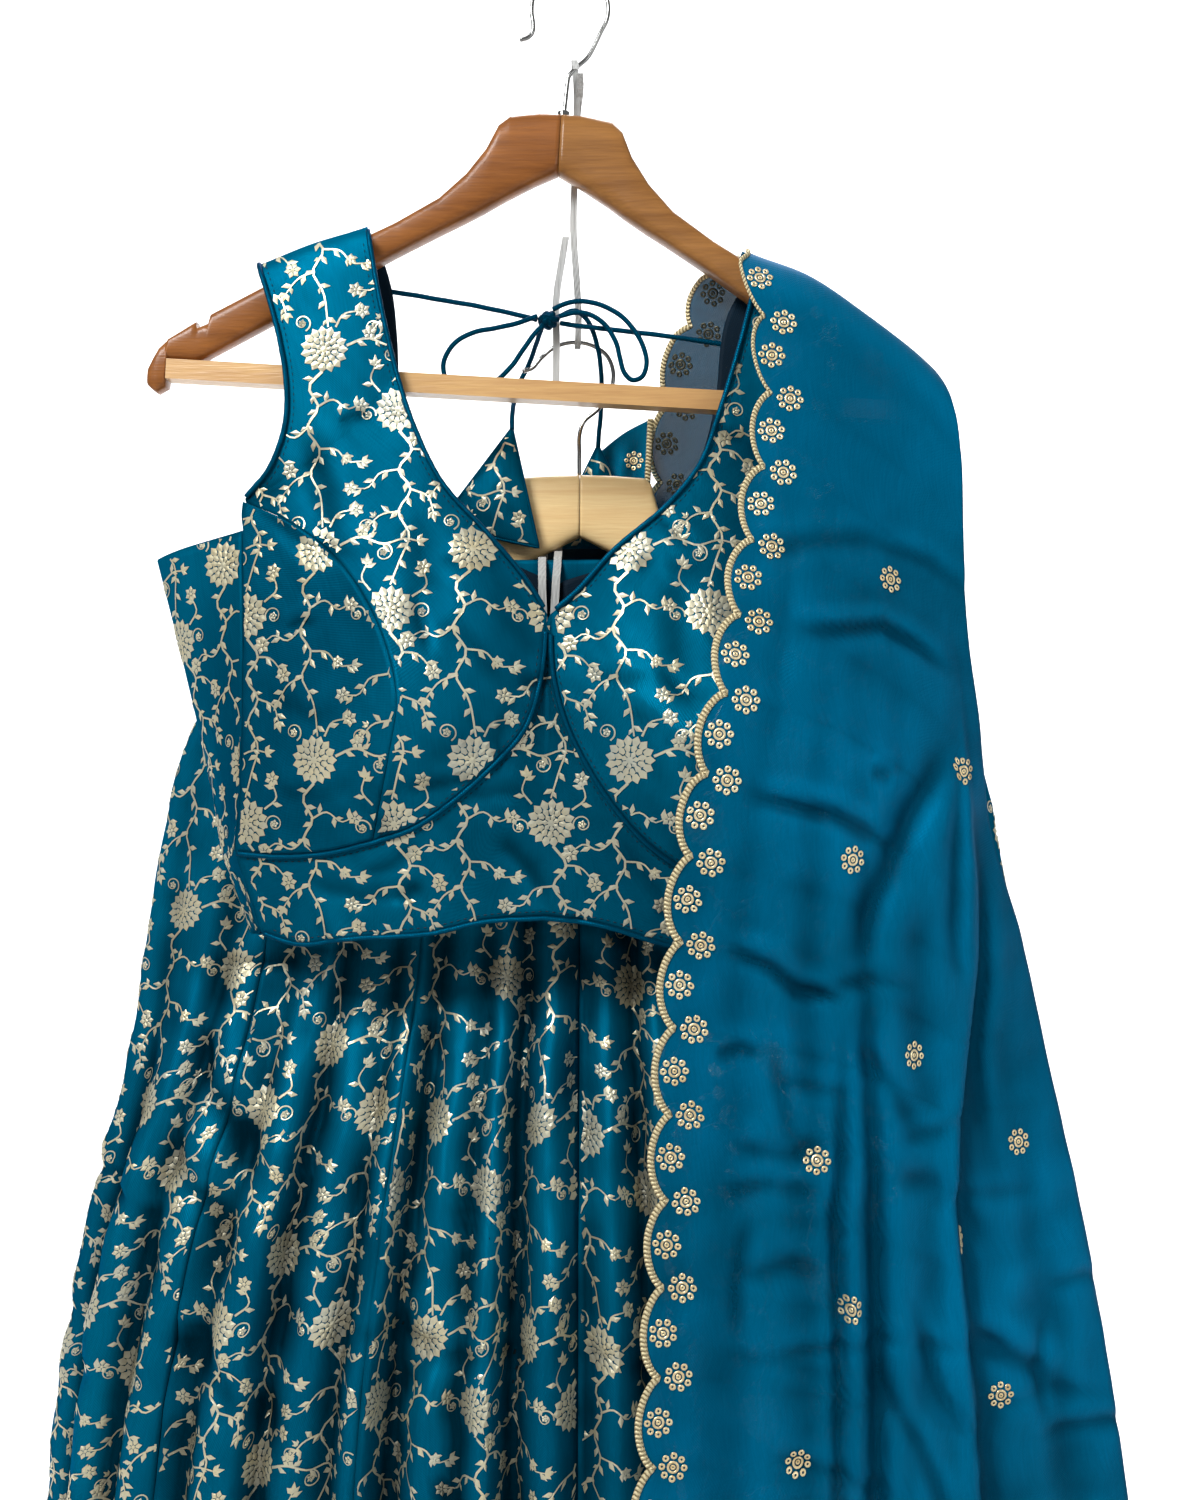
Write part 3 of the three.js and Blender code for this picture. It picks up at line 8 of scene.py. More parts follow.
import bpy
import numpy as np
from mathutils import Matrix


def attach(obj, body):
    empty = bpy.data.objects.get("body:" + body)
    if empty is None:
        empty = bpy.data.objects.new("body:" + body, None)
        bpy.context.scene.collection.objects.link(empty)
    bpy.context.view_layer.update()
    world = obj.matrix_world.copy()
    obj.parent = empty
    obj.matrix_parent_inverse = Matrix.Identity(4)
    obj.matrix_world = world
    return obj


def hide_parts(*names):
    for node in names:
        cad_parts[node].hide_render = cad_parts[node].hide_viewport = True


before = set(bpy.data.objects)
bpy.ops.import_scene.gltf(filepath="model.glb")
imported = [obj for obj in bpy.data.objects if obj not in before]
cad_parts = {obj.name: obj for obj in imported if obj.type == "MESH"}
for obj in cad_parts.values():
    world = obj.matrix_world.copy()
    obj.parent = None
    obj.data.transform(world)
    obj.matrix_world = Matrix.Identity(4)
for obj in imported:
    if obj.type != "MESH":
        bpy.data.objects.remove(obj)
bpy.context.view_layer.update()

MM = 0.001

# The view: the photo's height in the plane of the hook, and where the lens stands
VIEW_HEIGHT = 828
CAMERA_PLACE = (16.56, -750, -428.9)
SENSOR = 36

# Cloth
CHOLI_WALL = 1.3
SKIRT_WALL = 1.5
ORGANZA_WALL = 0.5
SEAM_GAP = 0.3
STITCH_PITCH = 3.6
PIPING_RADIUS = 1.35
PIPING_LIFT = 1.1
CORD_RADIUS = 1.4
KALI_COUNT = 12
SKIRT_GIRTH = 1100
SKIRT_CENTRE_X = 5
SKIRT_TOP_Z = -336
SKIRT_HEM_Z = -1340
GATHERS_END_Z = -500
WAIST_TOP_Z = -322
BACK_WAIST_RISE = 17
SECTION_POWER = 2.5

# Woven pattern: the repeat's width and height
REPEAT_WIDTH = 81
REPEAT_HEIGHT = 109
CHOLI_SHIFT = (12, 31)
SIDE_SHIFT = (20, 10)

# Dupatta edge
SCALLOP_PITCH = 39
SCALLOP_DEPTH = 9
SCALLOP_START = 16
STRIP_GAP = 0.9
SHOULDER_LOW_Z = -232
BRAID_WIDTH = 3.6
NARROWEST_CREASE = 4.0

# Hangers
HANGER_TILT = math.radians(3.3)
HOOK_WIRE = 1.2
HOOK_RADIUS = 21.2
HOOK_CENTRE_Z = -20
SMALL_HANGER_X = 5
SMALL_HANGER_Y = 33
SMALL_HOOK_WIRE = 1.25

# Hanger arm, one row a station outwards from the mitre: x, top, bottom, y, half thickness
ARM_ROWS = [
    (0.15, -79.6, -112, 0, 8), (12, -79.8, -118, 0, 8), (28, -82.4, -127.5, -0.3, 8),
    (34, -87.5, -131.5, -0.5, 7.9), (40, -101, -135.5, -0.8, 7.8), (50, -115.5, -141.5, -1.2, 7.6),
    (64, -130, -149.5, -1.8, 7.4), (87, -145.5, -163.5, -3, 7.2), (120, -164.5, -185.5, -5.5, 7),
    (150, -183, -205.5, -8.5, 6.8), (182, -204, -227, -12.5, 6.5), (183, -209, -227.8, -12.6, 6.5),
    (188.5, -212, -230.4, -13.4, 6.4), (189.5, -208.8, -230.6, -13.5, 6.4),
    (203.3, -219.5, -230.7, -15.2, 6.2), (203.6, -219.8, -246, -15.2, 6.2),
    (208, -224.5, -249, -15.7, 6), (213, -235, -246, -16.2, 5.2),
]
SMALL_ARM_ROWS = [
    (0.15, -270.8, -306.5, 0, 7), (20, -271.3, -316.5, 0, 7), (37, -272.6, -325.5, 0, 7),
    (41, -276, -327.5, 0, 7), (45.5, -292, -330, 0, 6.8), (54, -304, -334, 0, 6.6),
    (68, -316, -340, 0, 6.2), (92, -328, -349, 0, 5.8), (125, -342, -361, 0, 5.4),
    (152, -354, -371, 0, 5),
]

# Wires and cords: routes of given points, x, y, z
HOOK_SHANK = [
    (-3.4, 0, -79.1), (-2.4, 0, -70), (-1.4, 0, -61), (-0.6, 0, -57), (3.6, 0, -52.2),
    (9.8, 0, -46.6),
]
HOOK_TIP = [(-20.4, 0, -27), (-20.6, 0, -32.5), (-23, 0, -35.6), (-27.6, 0, -37)]
FERRULE_ROUTE = [(-3.6, 0, -80.4), (-3.6, 0, -77.2)]
FERRULE_RADIUS = 3.4
SMALL_HOOK_ROUTE = [
    (4.6, 0, -270.3), (4.6, 0, -258), (4.8, 0, -247), (7.4, 0, -239.6), (15.4, 0, -232.6),
    (22.6, 0, -222), (24.2, 0, -211.4), (20.6, 0, -201.8), (12, 0, -195.8), (1.4, 0, -194),
    (-9.2, 0, -196.6), (-17.4, 0, -203.2), (-22.4, 0, -208.8), (-28, 0, -210.7),
]
DORI_LEFT_ROUTE = [
    (-99.8, 8, -173.3), (-90, 8.4, -174.6), (-80, 8.8, -176.2), (-68, 9, -178.2), (-56, 9, -180.2),
    (-44, 9, -182.6), (-32, 9, -185.2), (-24, 9, -187.2), (-18.56, 9, -188.62),
]
DORI_RIGHT_ROUTE = [
    (-5.72, 9.62, -190.25), (4, 9.4, -191.8), (14, 9.2, -193), (26, 9, -194.4), (38, 9, -195.8),
    (50, 9, -197.2), (62, 8.8, -198.8), (72, 8.6, -200.4), (85.7, 8.1, -202.6),
]
LOOP_LEFT_ROUTE = [
    (-18.3, 5.1, -187.7), (-28, 4.6, -191.4), (-40, 4.4, -194.4), (-52, 4.4, -196.6),
    (-61, 4.4, -200.6), (-67.4, 4.4, -207), (-70.4, 4.4, -215), (-68.6, 4.4, -223.4),
    (-61.4, 4.4, -228.2), (-51, 4.4, -228), (-41, 4.4, -223.8), (-32.4, 4.4, -215.6),
    (-26, 4.4, -206.4), (-20.4, 4.6, -198.6), (-15.13, 5.43, -192.5),
]
LOOP_RIGHT_ROUTE = [
    (-9.6, 4.7, -184.2), (-2.6, 4.4, -181), (7, 4.2, -179.8), (17, 4.4, -181.8), (27, 4.4, -187),
    (35, 4.4, -195), (40.6, 4.4, -205), (42.4, 4.4, -214.6), (40, 4.4, -221.6), (34.6, 4.4, -223.4),
    (30, 4.4, -219.4), (27.6, 4.4, -211), (25.2, 4.4, -202), (19.8, 4.4, -193.4), (12, 4.2, -187.6),
    (3, 4.2, -186), (-5.9, 4.8, -188),
]
TAIL_LEFT_ROUTE = [
    (-16.01, 13.01, -191.51), (-18.6, 21, -195.4), (-21.4, 31, -199.4), (-25, 37.8, -206),
    (-29, 38, -214), (-31.4, 33, -223), (-32.8, 25, -232.4), (-33.2, 19.6, -240),
    (-33.2, 18, -247.75),
]
TAIL_RIGHT_ROUTE = [
    (-7.7, 13.7, -185.9), (2, 13, -182.2), (8.6, 13.2, -186.4), (12.8, 14.4, -194),
    (15.6, 18.6, -203), (17.2, 25.4, -213), (17.4, 34, -223.4), (17, 42.4, -233.6), (16, 47, -242.4),
    (15.4, 48, -251),
]
KNOT = dict(centre=(-12, 9, -188.8), radii=(6.2, 6.2, 5), cord_radius=1.75)
LATKANS = [
    dict(name="latkan_left", apex=(-33.2, -247), left=(-75, -302), right=(-18.2, -314.5), y=18),
    dict(name="latkan_right", apex=(15.4, -250.2), left=(-14.5, -310), right=(43.5, -309.5), y=48),
]

# Choli edges, each from its upper or left end
STRAP_OUTER_LEFT = [
    (-168, -6.2, -164.8), (-167.6, -15, -166.4), (-165.6, -20.4, -172), (-159.5, -24, -190),
    (-153, -27, -214.5), (-150, -27.6, -237), (-151, -27, -256), (-159, -26, -278),
    (-174.5, -24, -296),
]
STRAP_TOP_LEFT = [(-168, -6.2, -164.8), (-139, -6, -152.4), (-110.2, -4.6, -143.6)]
NECK_LEFT = [
    (-110.2, -4.6, -143.6), (-109.6, -13, -145), (-108, -18.6, -151), (-104.6, -22, -170),
    (-98.6, -27, -199), (-90.6, -30, -231), (-80.6, -35, -260), (-66, -39.4, -289),
    (-42, -42.4, -316), (-22, -43.6, -340), (-10.8, -44, -358),
]
PRINCESS_LEFT = [
    (-174.5, -24, -296), (-149.4, -36, -307.7), (-123.9, -48, -325.5), (-104.5, -60, -348.7),
    (-90, -71, -378), (-84.6, -75.4, -404.1), (-89.6, -69, -431.8), (-96.5, -54, -456),
    (-102.2, -42, -477.4),
]
ARMHOLE_FRONT_LEFT = [(-174.2, -24, -311.3), (-175.2, -24, -304), (-174.5, -24, -296)]
SIDE_SEAM_LEFT = [
    (-174.2, -24, -311.3), (-172.8, -29, -352), (-172.6, -31, -402), (-174.2, -29, -446),
    (-177.9, -26, -483.8),
]
UNDERBUST_OUTER_LEFT = [
    (-177.9, -26, -483.8), (-152, -32, -485.4), (-125, -37.6, -483), (-102.2, -42, -477.4),
]
UNDERBUST_INNER_LEFT = [
    (-102.2, -42, -477.4), (-80, -45.4, -469.6), (-57, -47.4, -453.6), (-36, -47, -434.4),
    (-22.4, -46, -418), (-14.6, -45, -394), (-10.8, -44, -358),
]
MIDRIFF_SIDE_LEFT = [(-177.9, -26, -483.8), (-171.5, -24, -504), (-165.1, -22, -526.4)]
HEM_LEFT = [(-165.1, -22, -526.4), (-143.4, -28, -532), (-117.3, -34, -528.4), (-90, -37, -526.6)]
HEM_MIDDLE_LEFT = [(-90, -37, -526.6), (-72.5, -38, -525), (-44.2, -39, -518.8), (-12.3, -39.6, -516.6)]
SIDE_TOP_LEFT = [
    (-186, 9.2, -327), (-222, 9.6, -325.4), (-229.4, 5, -324), (-222, -3, -321.6),
    (-174.2, -24, -311.3),
]
SIDE_HEM_LEFT = [
    (-150, 9.2, -531), (-171, 8.4, -531.4), (-176.2, 3.6, -531), (-172, -6, -529.6),
    (-165.1, -22, -526.4),
]
BACK_OUTER_LEFT = [
    (-168, -5.8, -164.8), (-167.4, 2, -166.4), (-165, 5.4, -172), (-158, 6.8, -190),
    (-152, 7.4, -215), (-151, 8, -250), (-158, 8.6, -285), (-170, 9, -311), (-186, 9.2, -327),
]
BACK_TOP_LEFT = [(-168, -5.8, -164.8), (-139, -5.6, -152.4), (-110.2, -4.2, -143.6)]
BACK_NECK_LEFT = [
    (-110.2, -4.2, -143.6), (-109, 3.6, -144.8), (-106, 6.6, -151), (-99.4, 7.6, -172),
    (-96.4, 8, -198), (-95, 8.6, -226), (-88, 9, -258), (-70, 9.2, -290), (-40, 9.2, -320),
    (-8, 9.2, -336),
]
STRAP_OUTER_RIGHT = [
    (156, -9.8, -196.5), (155, -18, -199), (153, -23, -204), (147, -25.4, -220), (141.5, -27, -243),
    (139, -28, -262), (141, -27, -282), (149, -26, -303), (163, -24, -320),
]
STRAP_TOP_RIGHT = [(102, -4.6, -161.4), (129, -6.6, -174.5), (156, -9.8, -196.5)]
NECK_RIGHT = [
    (102, -4.6, -161.4), (102, -13, -163), (101.4, -18.6, -168.4), (99, -22, -181),
    (94.4, -26.4, -200), (88.4, -29.6, -222), (79, -34, -252), (69.4, -38.4, -278),
    (52.6, -41.6, -300), (22.8, -43.4, -326), (4.4, -44, -346.4), (-9.2, -44, -358),
]
PRINCESS_RIGHT = [
    (163, -24, -320), (139, -36, -331), (114, -48, -349), (95, -60, -372), (81.4, -71, -400),
    (76, -75.4, -426), (80, -69, -454), (86.4, -54, -479), (92, -42, -500.4),
]
ARMHOLE_FRONT_RIGHT = [(163, -24, -320), (164, -24, -328), (163.4, -24, -335)]
SIDE_SEAM_RIGHT = [
    (163.4, -24, -335), (162.4, -29, -375), (162, -31, -424), (163.6, -29, -468), (167, -26, -506),
]
UNDERBUST_OUTER_RIGHT = [(92, -42, -500.4), (115, -37.6, -506), (142, -32, -508), (167, -26, -506)]
UNDERBUST_INNER_RIGHT = [
    (-9.2, -44, -358), (-8, -45, -388), (-2.2, -46, -412), (8.6, -47, -435), (25, -47.4, -460),
    (42.6, -46, -479), (65, -44, -493.6), (92, -42, -500.4),
]
MIDRIFF_SIDE_RIGHT = [(167, -26, -506), (160.6, -24, -527), (154, -22, -548)]
HEM_RIGHT = [(84, -37.6, -539.6), (108, -34, -545), (134, -28, -550), (154, -22, -548)]
HEM_MIDDLE_RIGHT = [(-12.3, -39.6, -516.6), (16, -39.6, -520.4), (48, -39, -530), (84, -37.6, -539.6)]
SIDE_TOP_RIGHT = [
    (163.4, -24, -335), (209, -3, -345.6), (216, 5, -348), (209, 9.6, -350), (174, 9.2, -350.6),
]
SIDE_HEM_RIGHT = [
    (154, -22, -548), (161, -6, -551.6), (165.2, 3.6, -553), (160, 8.4, -553.4), (139, 9.2, -553),
]
BACK_OUTER_RIGHT = [
    (156, -9.2, -196.5), (155, -1, -199), (153, 3.6, -204), (147, 6, -220), (141.6, 7, -245),
    (140, 8, -280), (146, 8.6, -312), (158, 9, -336), (174, 9.2, -350.6),
]
BACK_TOP_RIGHT = [(102, -4.2, -161.4), (129, -5.6, -174.5), (156, -9.2, -196.5)]
BACK_NECK_RIGHT = [
    (102, -4.2, -161.4), (100.6, 3.6, -163), (97, 6.6, -169), (87, 7.6, -188), (83.6, 8, -204),
    (81.6, 8.6, -228), (76, 9, -256), (62, 9.2, -290), (34, 9.2, -320), (-7.6, 9.2, -336),
]

# Skirt sections: level, half width, front and back of the section, depth of the folds
SKIRT_ROWS = [
    (-322, 168, 14, 67, 0.5), (-336, 170, 13.6, 68, 0.8), (-380, 204, 13.6, 74, 1.6),
    (-426, 231, 13.8, 80, 2.6), (-485, 246, 14, 88, 4), (-550, 257, 11, 98, 7.5),
    (-610, 263, -16, 108, 13), (-690, 283, -38, 122, 16), (-780, 298, -54, 138, 18),
    (-900, 310, -68, 156, 20), (-1100, 345, -88, 184, 23), (-1340, 386, -108, 214, 26),
]
# Folds of the gathers: place along the girth at the top and the hem, half width, depth
SKIRT_FOLDS = [
    (0.022, 0.03, 0.012, 0.55), (0.062, 0.052, 0.01, 0.75), (0.1, 0.086, 0.012, 0.6),
    (0.128, 0.122, 0.009, 0.9), (0.155, 0.15, 0.01, 0.7), (0.178, 0.176, 0.009, 1.15),
    (0.202, 0.204, 0.009, 0.75), (0.222, 0.228, 0.008, 1.2), (0.25, 0.256, 0.01, 0.8),
    (0.276, 0.284, 0.008, 1.1), (0.303, 0.312, 0.01, 0.75), (0.333, 0.342, 0.011, 0.95),
    (0.372, 0.378, 0.011, 0.7), (0.41, 0.416, 0.012, 0.85), (0.452, 0.456, 0.012, 0.65),
]
BACK_FOLD_COUNT = 14

# Dupatta: fall below the shoulder line, x of the border and of the free edge, y at each
DUPATTA_FRONT_ROWS = [
    (0, 99, 197, -5.8, -16), (4, 100, 200, -18, -22), (12, 102, 203, -27, -29),
    (40, 107, 207.6, -36, -31), (80, 109, 209, -45, -31), (130, 102, 211.6, -57, -29),
    (185, 91, 218, -75, -32), (235, 81, 223, -91, -34), (300, 66, 245, -93, -24),
    (370, 58, 263, -84, -16), (450, 53.5, 280, -83, -22), (540, 49, 293, -87, -32),
    (640, 42, 303, -93, -42), (800, 36, 318, -106, -62), (1020, 30, 336, -124, -86),
]
DUPATTA_BACK_ROWS = [
    (0, 97, 197, -5.2, -15.4), (4, 95, 200, 4, -8), (12, 88, 203, 14, 4), (40, 72, 208, 28, 24),
    (80, 61, 211, 48, 54), (130, 56, 214, 73, 80), (170, 52, 222, 86, 90), (260, 46, 242, 104, 98),
    (370, 42, 268, 126, 106), (480, 40, 288, 146, 116), (700, 36, 318, 188, 142),
    (980, 32, 340, 230, 176),
]
# Standing folds of the dupatta: place at the top and below, half width, depth, where they begin
DUPATTA_FRONT_FOLDS = [
    (0.14, 0.12, 0.05, 3, 0.2), (0.33, 0.26, 0.05, 5, 0.3), (0.5, 0.38, 0.03, 12, 0.42),
    (0.66, 0.5, 0.06, 6, 0.3), (0.84, 0.9, 0.05, 5, 0.5),
]
DUPATTA_BACK_FOLDS = [
    (0.18, 0.15, 0.05, 6, 0.25), (0.4, 0.36, 0.05, 9, 0.2), (0.62, 0.58, 0.06, 8, 0.25),
    (0.82, 0.8, 0.05, 7, 0.3),
]
LAYER_STEP = dict(at=0.9, low_at=0.64, width=0.045, back=20, start=0.2, end=0.45)
SHOULDER_LINE = [
    (60, -140), (99, -157.4), (130, -169.6), (160, -190.5), (185, -211), (197, -223), (204, -231),
]


# Curves and surfaces


def smooth(knots, values, t):
    """Cubic pieces through a table: at a knot the slope is the mean of the slopes beside it."""
    knots, values, t = (np.asarray(part, float) for part in (knots, values, t))
    spread = (slice(None),) + (None,) * (values.ndim - 1)
    slopes = np.diff(values, axis=0) / np.diff(knots)[spread]
    tangents = np.concatenate([slopes[:1], (slopes[:-1] + slopes[1:]) / 2, slopes[-1:]])
    i = np.clip(np.searchsorted(knots, t) - 1, 0, len(knots) - 2)
    step = knots[i + 1] - knots[i]
    s = np.clip((t - knots[i]) / step, 0, 1)
    if values.ndim > 1:
        step, s = step[..., None], s[..., None]
    rise = 3 * s**2 - 2 * s**3
    return (
        (1 - rise) * values[i]
        + rise * values[i + 1]
        + (s**3 - 2 * s**2 + s) * step * tangents[i]
        + (s**3 - s**2) * step * tangents[i + 1]
    )


def run_of(points):
    """How far along a line of points each of them lies."""
    return np.concatenate([[0], np.cumsum(np.linalg.norm(np.diff(points, axis=0), axis=1))])


def points_at(places, run, points):
    """Places along a line of points, given by how far along it they lie."""
    return np.stack([np.interp(places, run, values) for values in points.T], axis=-1)


def edge(points):
    """A smooth curve through points; its parameter keeps step with the length of the chords."""
    points = np.asarray(points, float)
    knots = run_of(points)
    return lambda t: smooth(knots / knots[-1], points, t)


def curve_of(part):
    """A curve as it is, or else the smooth curve through a route of points."""
    return part if callable(part) else edge(part)


def chain(*spans):
    """Curves or routes end to end; each pair is a share of the parameter and its part."""
    spans = [(share, curve_of(part)) for share, part in spans]

    def curve(t):
        t = np.asarray(t, float)
        out = np.zeros(t.shape + (3,))
        start = 0.0
        for share, part in spans:
            here = t >= start - 1e-9
            out[here] = part(np.clip((t[here] - start) / share, 0, 1))
            start += share
        return out

    return curve


def reverse(part):
    """The same curve run the other way."""
    curve = curve_of(part)
    return lambda t: curve(1 - np.asarray(t, float))


def blend_edges(*edges):
    """Left to right blend plus top to bottom blend, less the blend of the four corners."""
    left, right, top, bottom = (curve_of(part) for part in edges)
    corners = [top(np.array(t)) for t in (0.0, 1.0)] + [bottom(np.array(t)) for t in (0.0, 1.0)]

    def surface(u, v):
        u, v = np.broadcast_arrays(u, v)
        a, b = u[..., None], v[..., None]
        across = left(v) * (1 - a) + right(v) * a
        down = top(u) * (1 - b) + bottom(u) * b
        flat = (1 - b) * ((1 - a) * corners[0] + a * corners[1])
        return across + down - flat - b * ((1 - a) * corners[2] + a * corners[3])

    return surface


def inset(surface, gap=SEAM_GAP):
    """The surface drawn in from its own edges by half the seam gap on every side."""
    ends = np.array([0.0, 1.0])
    middle = np.array([0.5, 0.5])
    width = max(np.linalg.norm(np.diff(surface(ends, middle), axis=0)), 1)
    height = max(np.linalg.norm(np.diff(surface(middle, ends), axis=0)), 1)
    a, b = gap / 2 / width, gap / 2 / height
    return lambda u, v: surface(a + (1 - 2 * a) * u, b + (1 - 2 * b) * v)


def grid_of(surface, columns, rows):
    """Points of a surface on an even grid, rows first."""
    return surface(np.linspace(0, 1, columns + 1)[None, :], np.linspace(0, 1, rows + 1)[:, None])


def moved_back(grid, depth):
    """A grid with each point moved away from the viewer by its own depth."""
    return grid + np.stack([0 * depth, depth, 0 * depth], axis=-1)


def unit(vectors):
    """Vectors of length one."""
    return vectors / np.maximum(np.linalg.norm(vectors, axis=-1, keepdims=True), 1e-9)


def facing(grid, towards):
    """Normals of a grid: the cross product of its two directions, on the side that is mostly towards."""
    along = np.gradient(grid, axis=1)
    down = np.gradient(grid, axis=0)
    normal = unit(np.cross(along, down))
    return normal * (1 if np.sum(normal * towards) > 0 else -1)


def sample(grid, u, v):
    """Values of a grid at fractions u across and v down, blended between its four nearest points."""
    rows, columns = grid.shape[0] - 1, grid.shape[1] - 1
    x = np.clip(u, 0, 1) * columns
    y = np.clip(v, 0, 1) * rows
    i = np.minimum(x.astype(int), columns - 1)
    j = np.minimum(y.astype(int), rows - 1)
    a, b = (x - i)[..., None], (y - j)[..., None]
    upper = grid[j, i] * (1 - a) + grid[j, i + 1] * a
    lower = grid[j + 1, i] * (1 - a) + grid[j + 1, i + 1] * a
    return upper * (1 - b) + lower * b


def rounded_box(angle, power):
    """The two coordinates of a superellipse of a given power, at angles round it."""
    c, s = np.cos(angle), np.sin(angle)
    return np.sign(c) * np.abs(c) ** (2 / power), np.sign(s) * np.abs(s) ** (2 / power)


def step_between(t, low, high):
    """0 below low, 1 above high, with a soft rise between."""
    s = np.clip((np.asarray(t, float) - low) / (high - low), 0, 1)
    return s * s * (3 - 2 * s)


def unevenness(x, z, size, seed):
    """Gentle unevenness between -1 and 1: plane waves of about one size in seeded directions."""
    waves = 7
    chance = np.random.default_rng(seed)
    angle = chance.uniform(0, math.pi, waves)
    pitch = 2 * math.pi / (size * chance.uniform(0.7, 1.6, waves))
    phase = chance.uniform(0, 2 * math.pi, waves)
    total = np.zeros(np.broadcast(x, z).shape)
    for a, p, f in zip(angle, pitch, phase):
        total += np.sin((x * math.cos(a) + z * math.sin(a)) * p + f)
    return total / math.sqrt(waves) / 1.6


def crease(x, z, line, width, depth):
    """A soft trough along a bent line with a lower ridge beside it: two bells of the signed distance
    from the line, fading out at both ends."""
    ridge = 0.45
    line = np.asarray(line, float)
    lengths = np.linalg.norm(np.diff(line, axis=0), axis=1)
    starts = run_of(line)
    nearest = np.full(np.broadcast(x, z).shape, 1e9)
    place = np.zeros_like(nearest)
    for (ax, az), (bx, bz), length, start in zip(line[:-1], line[1:], lengths, starts):
        ux, uz = (bx - ax) / length, (bz - az) / length
        along = np.clip((x - ax) * ux + (z - az) * uz, 0, length)
        dx, dz = x - ax - along * ux, z - az - along * uz
        away = np.hypot(dx, dz) * np.where(dz * ux - dx * uz < 0, -1, 1)
        closer = np.abs(away) < np.abs(nearest)
        nearest = np.where(closer, away, nearest)
        place = np.where(closer, start + along, place)
    share = place / starts[-1]
    fade = step_between(share, 0, 0.3) * step_between(1 - share, 0, 0.35)
    trough = np.exp(-((nearest / width) ** 2))
    beside = np.exp(-(((nearest - 1.9 * width) / (1.5 * width)) ** 2))
    return depth * fade * (trough - ridge * beside)


def wrinkles(seed, count, x_span, z_span, length, width, depth, slope):
    """Seeded small creases over a cloth: each a gently bent line of three points."""
    chance = np.random.default_rng(seed)
    found = []
    for _ in range(count):
        x, z = chance.uniform(*x_span), chance.uniform(*z_span)
        angle = chance.normal(*slope)
        half = chance.uniform(*length) / 2
        dx, dz = half * math.cos(angle), half * math.sin(angle)
        bow = chance.uniform(-0.25, 0.25) * half
        middle = (x + bow * math.sin(angle), z - bow * math.cos(angle))
        line = [(x - dx, z - dz), middle, (x + dx, z + dz)]
        found.append((line, chance.uniform(*width), chance.uniform(*depth)))
    return found


# Meshes


def new_piece(name, points, faces, finishes, slots=None, charts=None, flat=False, hollow=None):
    """A named mesh at the origin. faces is a list of arrays of corners, charts are named UV maps."""
    corners = np.concatenate([part.ravel() for part in faces]).astype(np.int32)
    sizes = np.concatenate([np.full(len(part), part.shape[1]) for part in faces])
    mesh = bpy.data.meshes.new(name)
    mesh.vertices.add(len(points))
    mesh.vertices.foreach_set("co", (np.asarray(points, float) * MM).astype(np.float32).ravel())
    mesh.loops.add(len(corners))
    mesh.loops.foreach_set("vertex_index", corners)
    mesh.polygons.add(len(sizes))
    starts = np.concatenate([[0], np.cumsum(sizes)[:-1]]).astype(np.int32)
    mesh.polygons.foreach_set("loop_start", starts)
    for finish in finishes:
        mesh.materials.append(finish)
    if slots is not None:
        mesh.polygons.foreach_set("material_index", np.asarray(slots, np.int32))
    mesh.polygons.foreach_set("use_smooth", np.full(len(sizes), not flat))
    for label, values in (charts or {}).items():
        layer = mesh.uv_layers.new(name=label)
        layer.data.foreach_set("uv", values[corners].astype(np.float32).ravel())
    if hollow is not None:
        depths = mesh.attributes.new("hollow", "FLOAT", "POINT")
        depths.data.foreach_set("value", np.asarray(hollow, np.float32).ravel())
    mesh.update(calc_edges=True)
    mesh.validate()
    piece = bpy.data.objects.new(name, mesh)
    bpy.context.scene.collection.objects.link(piece)
    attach(piece, "root")
    return piece


def replace_node(node):
    """The piece stands for a node of the frame, whose part is hidden."""
    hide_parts(node)


def grid_faces(rows, columns, wrap=False):
    """Quads of a grid of points, rows first; wrap joins the last column to the first."""
    index = np.arange((rows + 1) * (columns if wrap else columns + 1)).reshape(rows + 1, -1)
    if wrap:
        index = np.concatenate([index, index[:, :1]], axis=1)
    corners = [index[:-1, :-1], index[1:, :-1], index[1:, 1:], index[:-1, 1:]]
    return np.stack(corners, axis=-1).reshape(-1, 4)


def wall_faces(rows, columns, wrap=False):
    """Quads of a closed wall: a grid, the same grid behind it, and the rims that join their edges."""
    front = grid_faces(rows, columns, wrap)
    index = np.arange((rows + 1) * (columns if wrap else columns + 1)).reshape(rows + 1, -1)
    top, bottom = (np.append(line, line[:1]) if wrap else line for line in (index[0], index[-1]))
    edges = [top, bottom[::-1]] + ([] if wrap else [index[::-1, 0], index[:, -1]])
    behind = index.size
    rims = [np.stack([line[:-1], line[1:], line[1:] + behind, line[:-1] + behind], axis=-1) for line in edges]
    return np.concatenate([front, front[:, ::-1] + behind] + rims)


def tube_faces(rings, sides):
    """Quads round a tube of rings, and at each end a fan on a middle point that follows the rings."""
    count = rings * sides
    k = np.append(np.arange(sides), 0)
    near = np.stack([k[:-1], k[1:], np.full(sides, count)], axis=-1)
    last = k + count - sides
    far = np.stack([last[1:], last[:-1], np.full(sides, count + 1)], axis=-1)
    return [grid_faces(rings - 1, sides, True), near, far]


def turned_to(way, points, faces, probe=0):
    """Lists of faces, all turned over if the probed face of the first list looks away from a direction."""
    a, b, c = points[faces[0][probe][:3]]
    return faces if np.dot(np.cross(b - a, c - a), way) >= 0 else [part[:, ::-1] for part in faces]


